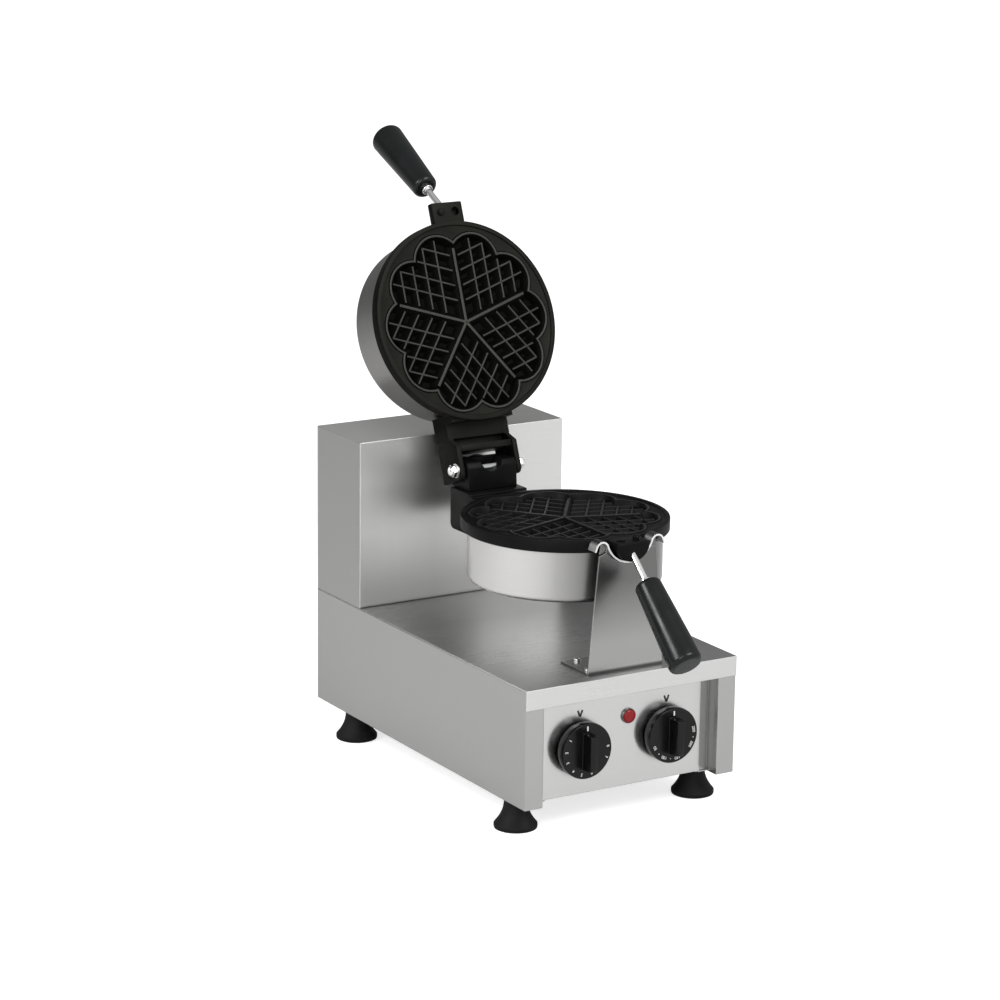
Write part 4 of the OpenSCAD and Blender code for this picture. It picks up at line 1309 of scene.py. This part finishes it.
def lampBezel(bm, s):
    y, r, inner = s["panelY"], s["radius"], s["bore"] + s["play"]
    profile = [(inner, y), (r, y), (r, y - 1.4), (r - 0.15, y - 2.1), (r - 0.35, y - 2.4),
               (inner, y - 2.2), (inner, y)]
    turned(bm, [(a, -b) for a, b in profile], facets["bore"],
           axisAlong("-y", s["x"], 0, s["z"]))


def lampLens(bm, s):
    y, r = s["panelY"], s["bore"]
    profile = [(0, y - s["lensStart"]), (r, y - s["lensStart"])]
    for angle in range(0, 90, 10):
        a = math.radians(angle)
        profile.append((r * math.cos(a), y - s["lensRim"] - s["domeHeight"] * math.sin(a)))
    profile.append((0, y - s["lensTop"]))
    turned(bm, [(a, -b) for a, b in profile], facets["bore"],
           axisAlong("-y", s["x"], 0, s["z"]))


for name, build, finish, nodeName, slotName in (
        ("lampBezel", lampBezel, turnedSteel, "lamp_bezel", "chrome_steel"),
        ("lampLens", lampLens, lampRed, "lamp_lens", "lamp_red")):
    makePiece(name, build, lampSettings, finish, "base", (nodeName,))
print("controls made")

# feet

footSettings = {
    "x": 94.3,
    "frontY": -149,
    "rearY": 140,
    "height": 29,
    "radius": 19.5,
    "neck": 10.5,
    "skirt": 4,
    "neckHeight": 3,
    "curve": 2.2,
    "rings": 12,
    "bore": 3.2,
    "recessRadius": 7.5,
    "recessTop": 8,
}


def foot(bm, s):
    r, neck, h, low, count = (s[k] for k in ("radius", "neck", "height", "skirt", "rings"))
    rise = h - low - s["neckHeight"]
    bell = [(neck + (r - neck) * (1 - i / count) ** s["curve"], low + rise * i / count)
            for i in range(count + 1)]
    bore, recess, top = s["bore"], s["recessRadius"], s["recessTop"]
    turned(bm, [(bore, top), (recess, top), (recess, 0), (r - 1.2, 0), (r - 0.3, 0.4), (r, 1.3),
                *bell, (neck, h), (bore, h), (bore, top)], facets["foot"])


for name, side, y in (("front_left", -1, "frontY"), ("front_right", 1, "frontY"),
                      ("rear_left", -1, "rearY"), ("rear_right", 1, "rearY")):
    makePiece("foot." + name, foot, footSettings, rubberBlack, "base", ("foot_" + name,),
              shift(side * footSettings["x"], footSettings[y], 0))
print("feet made")

# materials of the carried-over parts

carried = {
    steelSideShaded: ["base_left_side", "base_right_side"],
    steelPanel: ["front_panel"],
    steelCradleShaded: ["cradle_plate"],
    steelTop: ["base_top"],
    steelFront: ["tower_casing"],
    steelRear: ["base_rear_wall", "tower_rear_cover"],
    steelHidden: ["bottom_plate", "terminal_block"],
    zinc: ["bottom_screws", "foot_bolts", "rear_cover_screws", "cradle_screws", "cradle_nuts",
           "control_screws", "shaft_bolts", "bearing_studs", "bearing_nuts", "stop_pin"],
    turnedSteel: ["main_shaft", "shaft_collar", "bearing_housing", "timer_spindle",
                  "thermostat_spindle"],
    bronze: ["front_bush", "rear_bush"],
    glandBlack: ["cable_gland", "gland_locknut", "lamp_body"],
    timerCase: ["timer_body"],
    ceramicCase: ["thermostat_body"],
    heaterSheath: ["lower_element", "upper_element"],
    fibre: ["lower_insulation", "upper_insulation"],
}
for finish, names in carried.items():
    for nodeName in names:
        slots = nodes[nodeName].data.materials
        slots.clear()
        slots.append(finish)
print("carried-over parts finished")

# stage and light

floorSettings = {
    "size": 40,
    "colour": 0.62,
    "lift": 0.7,
    "rough": 0.9,
}

# strengths of the white world: as a backdrop, in mirrors from front to back, and as light
worldSettings = {
    "camera": 1.0,
    "front": 1.15,
    "back": 0.2,
    "reach": (-0.9, 0.7),
    "soft": 0.75,
}

# place, target, size and watts of the soft boxes
lightSettings = {
    "keyLight": ((0.5, -2.0, 2.2), (0, 0, 0.2), (1.2, 1.2), 40),
    "fillLight": ((-1.9, -1.7, 1.3), (0, 0, 0.2), (0.5, 1.6), 18),
    "sideLight": ((-1.9, 0.1, 1.35), (0, -0.25, 0.2), (0.5, 0.8), 22),
}


def makeFloor(s):
    bm = bmesh.new()
    bmesh.ops.create_grid(bm, x_segments=1, y_segments=1, size=s["size"] / 2)
    floor = toScene("studioFloor", toMesh("studioFloor", bm))
    material, tree, shader = newMaterial("paleFloor")
    setSockets(shader, {"Base Color": (s["colour"],) * 3 + (1,), "Roughness": s["rough"],
                        "Specular IOR Level": 0, "Emission Color": (1, 1, 1, 1)})
    path = addNode(tree, "ShaderNodeLightPath")
    lift = addNode(tree, "ShaderNodeMath", operation="MULTIPLY")
    lift.inputs[1].default_value = s["lift"]
    tree.links.new(path.outputs["Is Camera Ray"], lift.inputs[0])
    tree.links.new(lift.outputs[0], shader.inputs["Emission Strength"])
    floor.data.materials.append(material)


def makeWorld(s):
    world = bpy.data.worlds.new("studioWorld")
    bpy.context.scene.world = world
    world.use_nodes = True
    tree = world.node_tree
    link = tree.links.new
    back = setSockets(tree.nodes["Background"], {"Color": (1, 1, 1, 1)})
    place = addNode(tree, "ShaderNodeTexCoord")
    split = addNode(tree, "ShaderNodeSeparateXYZ")
    link(place.outputs["Generated"], split.inputs[0])
    shade = span(tree, split.outputs["Y"], s["front"], s["back"], s["reach"])
    path = addNode(tree, "ShaderNodeLightPath")
    glossy = setSockets(addNode(tree, "ShaderNodeMix", data_type="FLOAT"), {"A": s["soft"]})
    link(path.outputs["Is Glossy Ray"], glossy.inputs["Factor"])
    link(shade, glossy.inputs["B"])
    camera = setSockets(addNode(tree, "ShaderNodeMix", data_type="FLOAT"), {"B": s["camera"]})
    link(path.outputs["Is Camera Ray"], camera.inputs["Factor"])
    link(glossy.outputs["Result"], camera.inputs["A"])
    link(camera.outputs["Result"], back.inputs["Strength"])


def softBox(name, place, target, size, watts):
    data = bpy.data.lights.new(name, "AREA")
    data.shape = "RECTANGLE"
    data.size, data.size_y = size
    data.energy = watts
    lamp = toScene(name, data)
    lamp.location = place
    aim = Vector(target) - Vector(place)
    lamp.rotation_euler = aim.to_track_quat("-Z", "Y").to_euler()


makeFloor(floorSettings)
makeWorld(worldSettings)
for name, values in lightSettings.items():
    softBox(name, *values)
bpy.context.scene.view_settings.view_transform = "Standard"
print("stage ready")
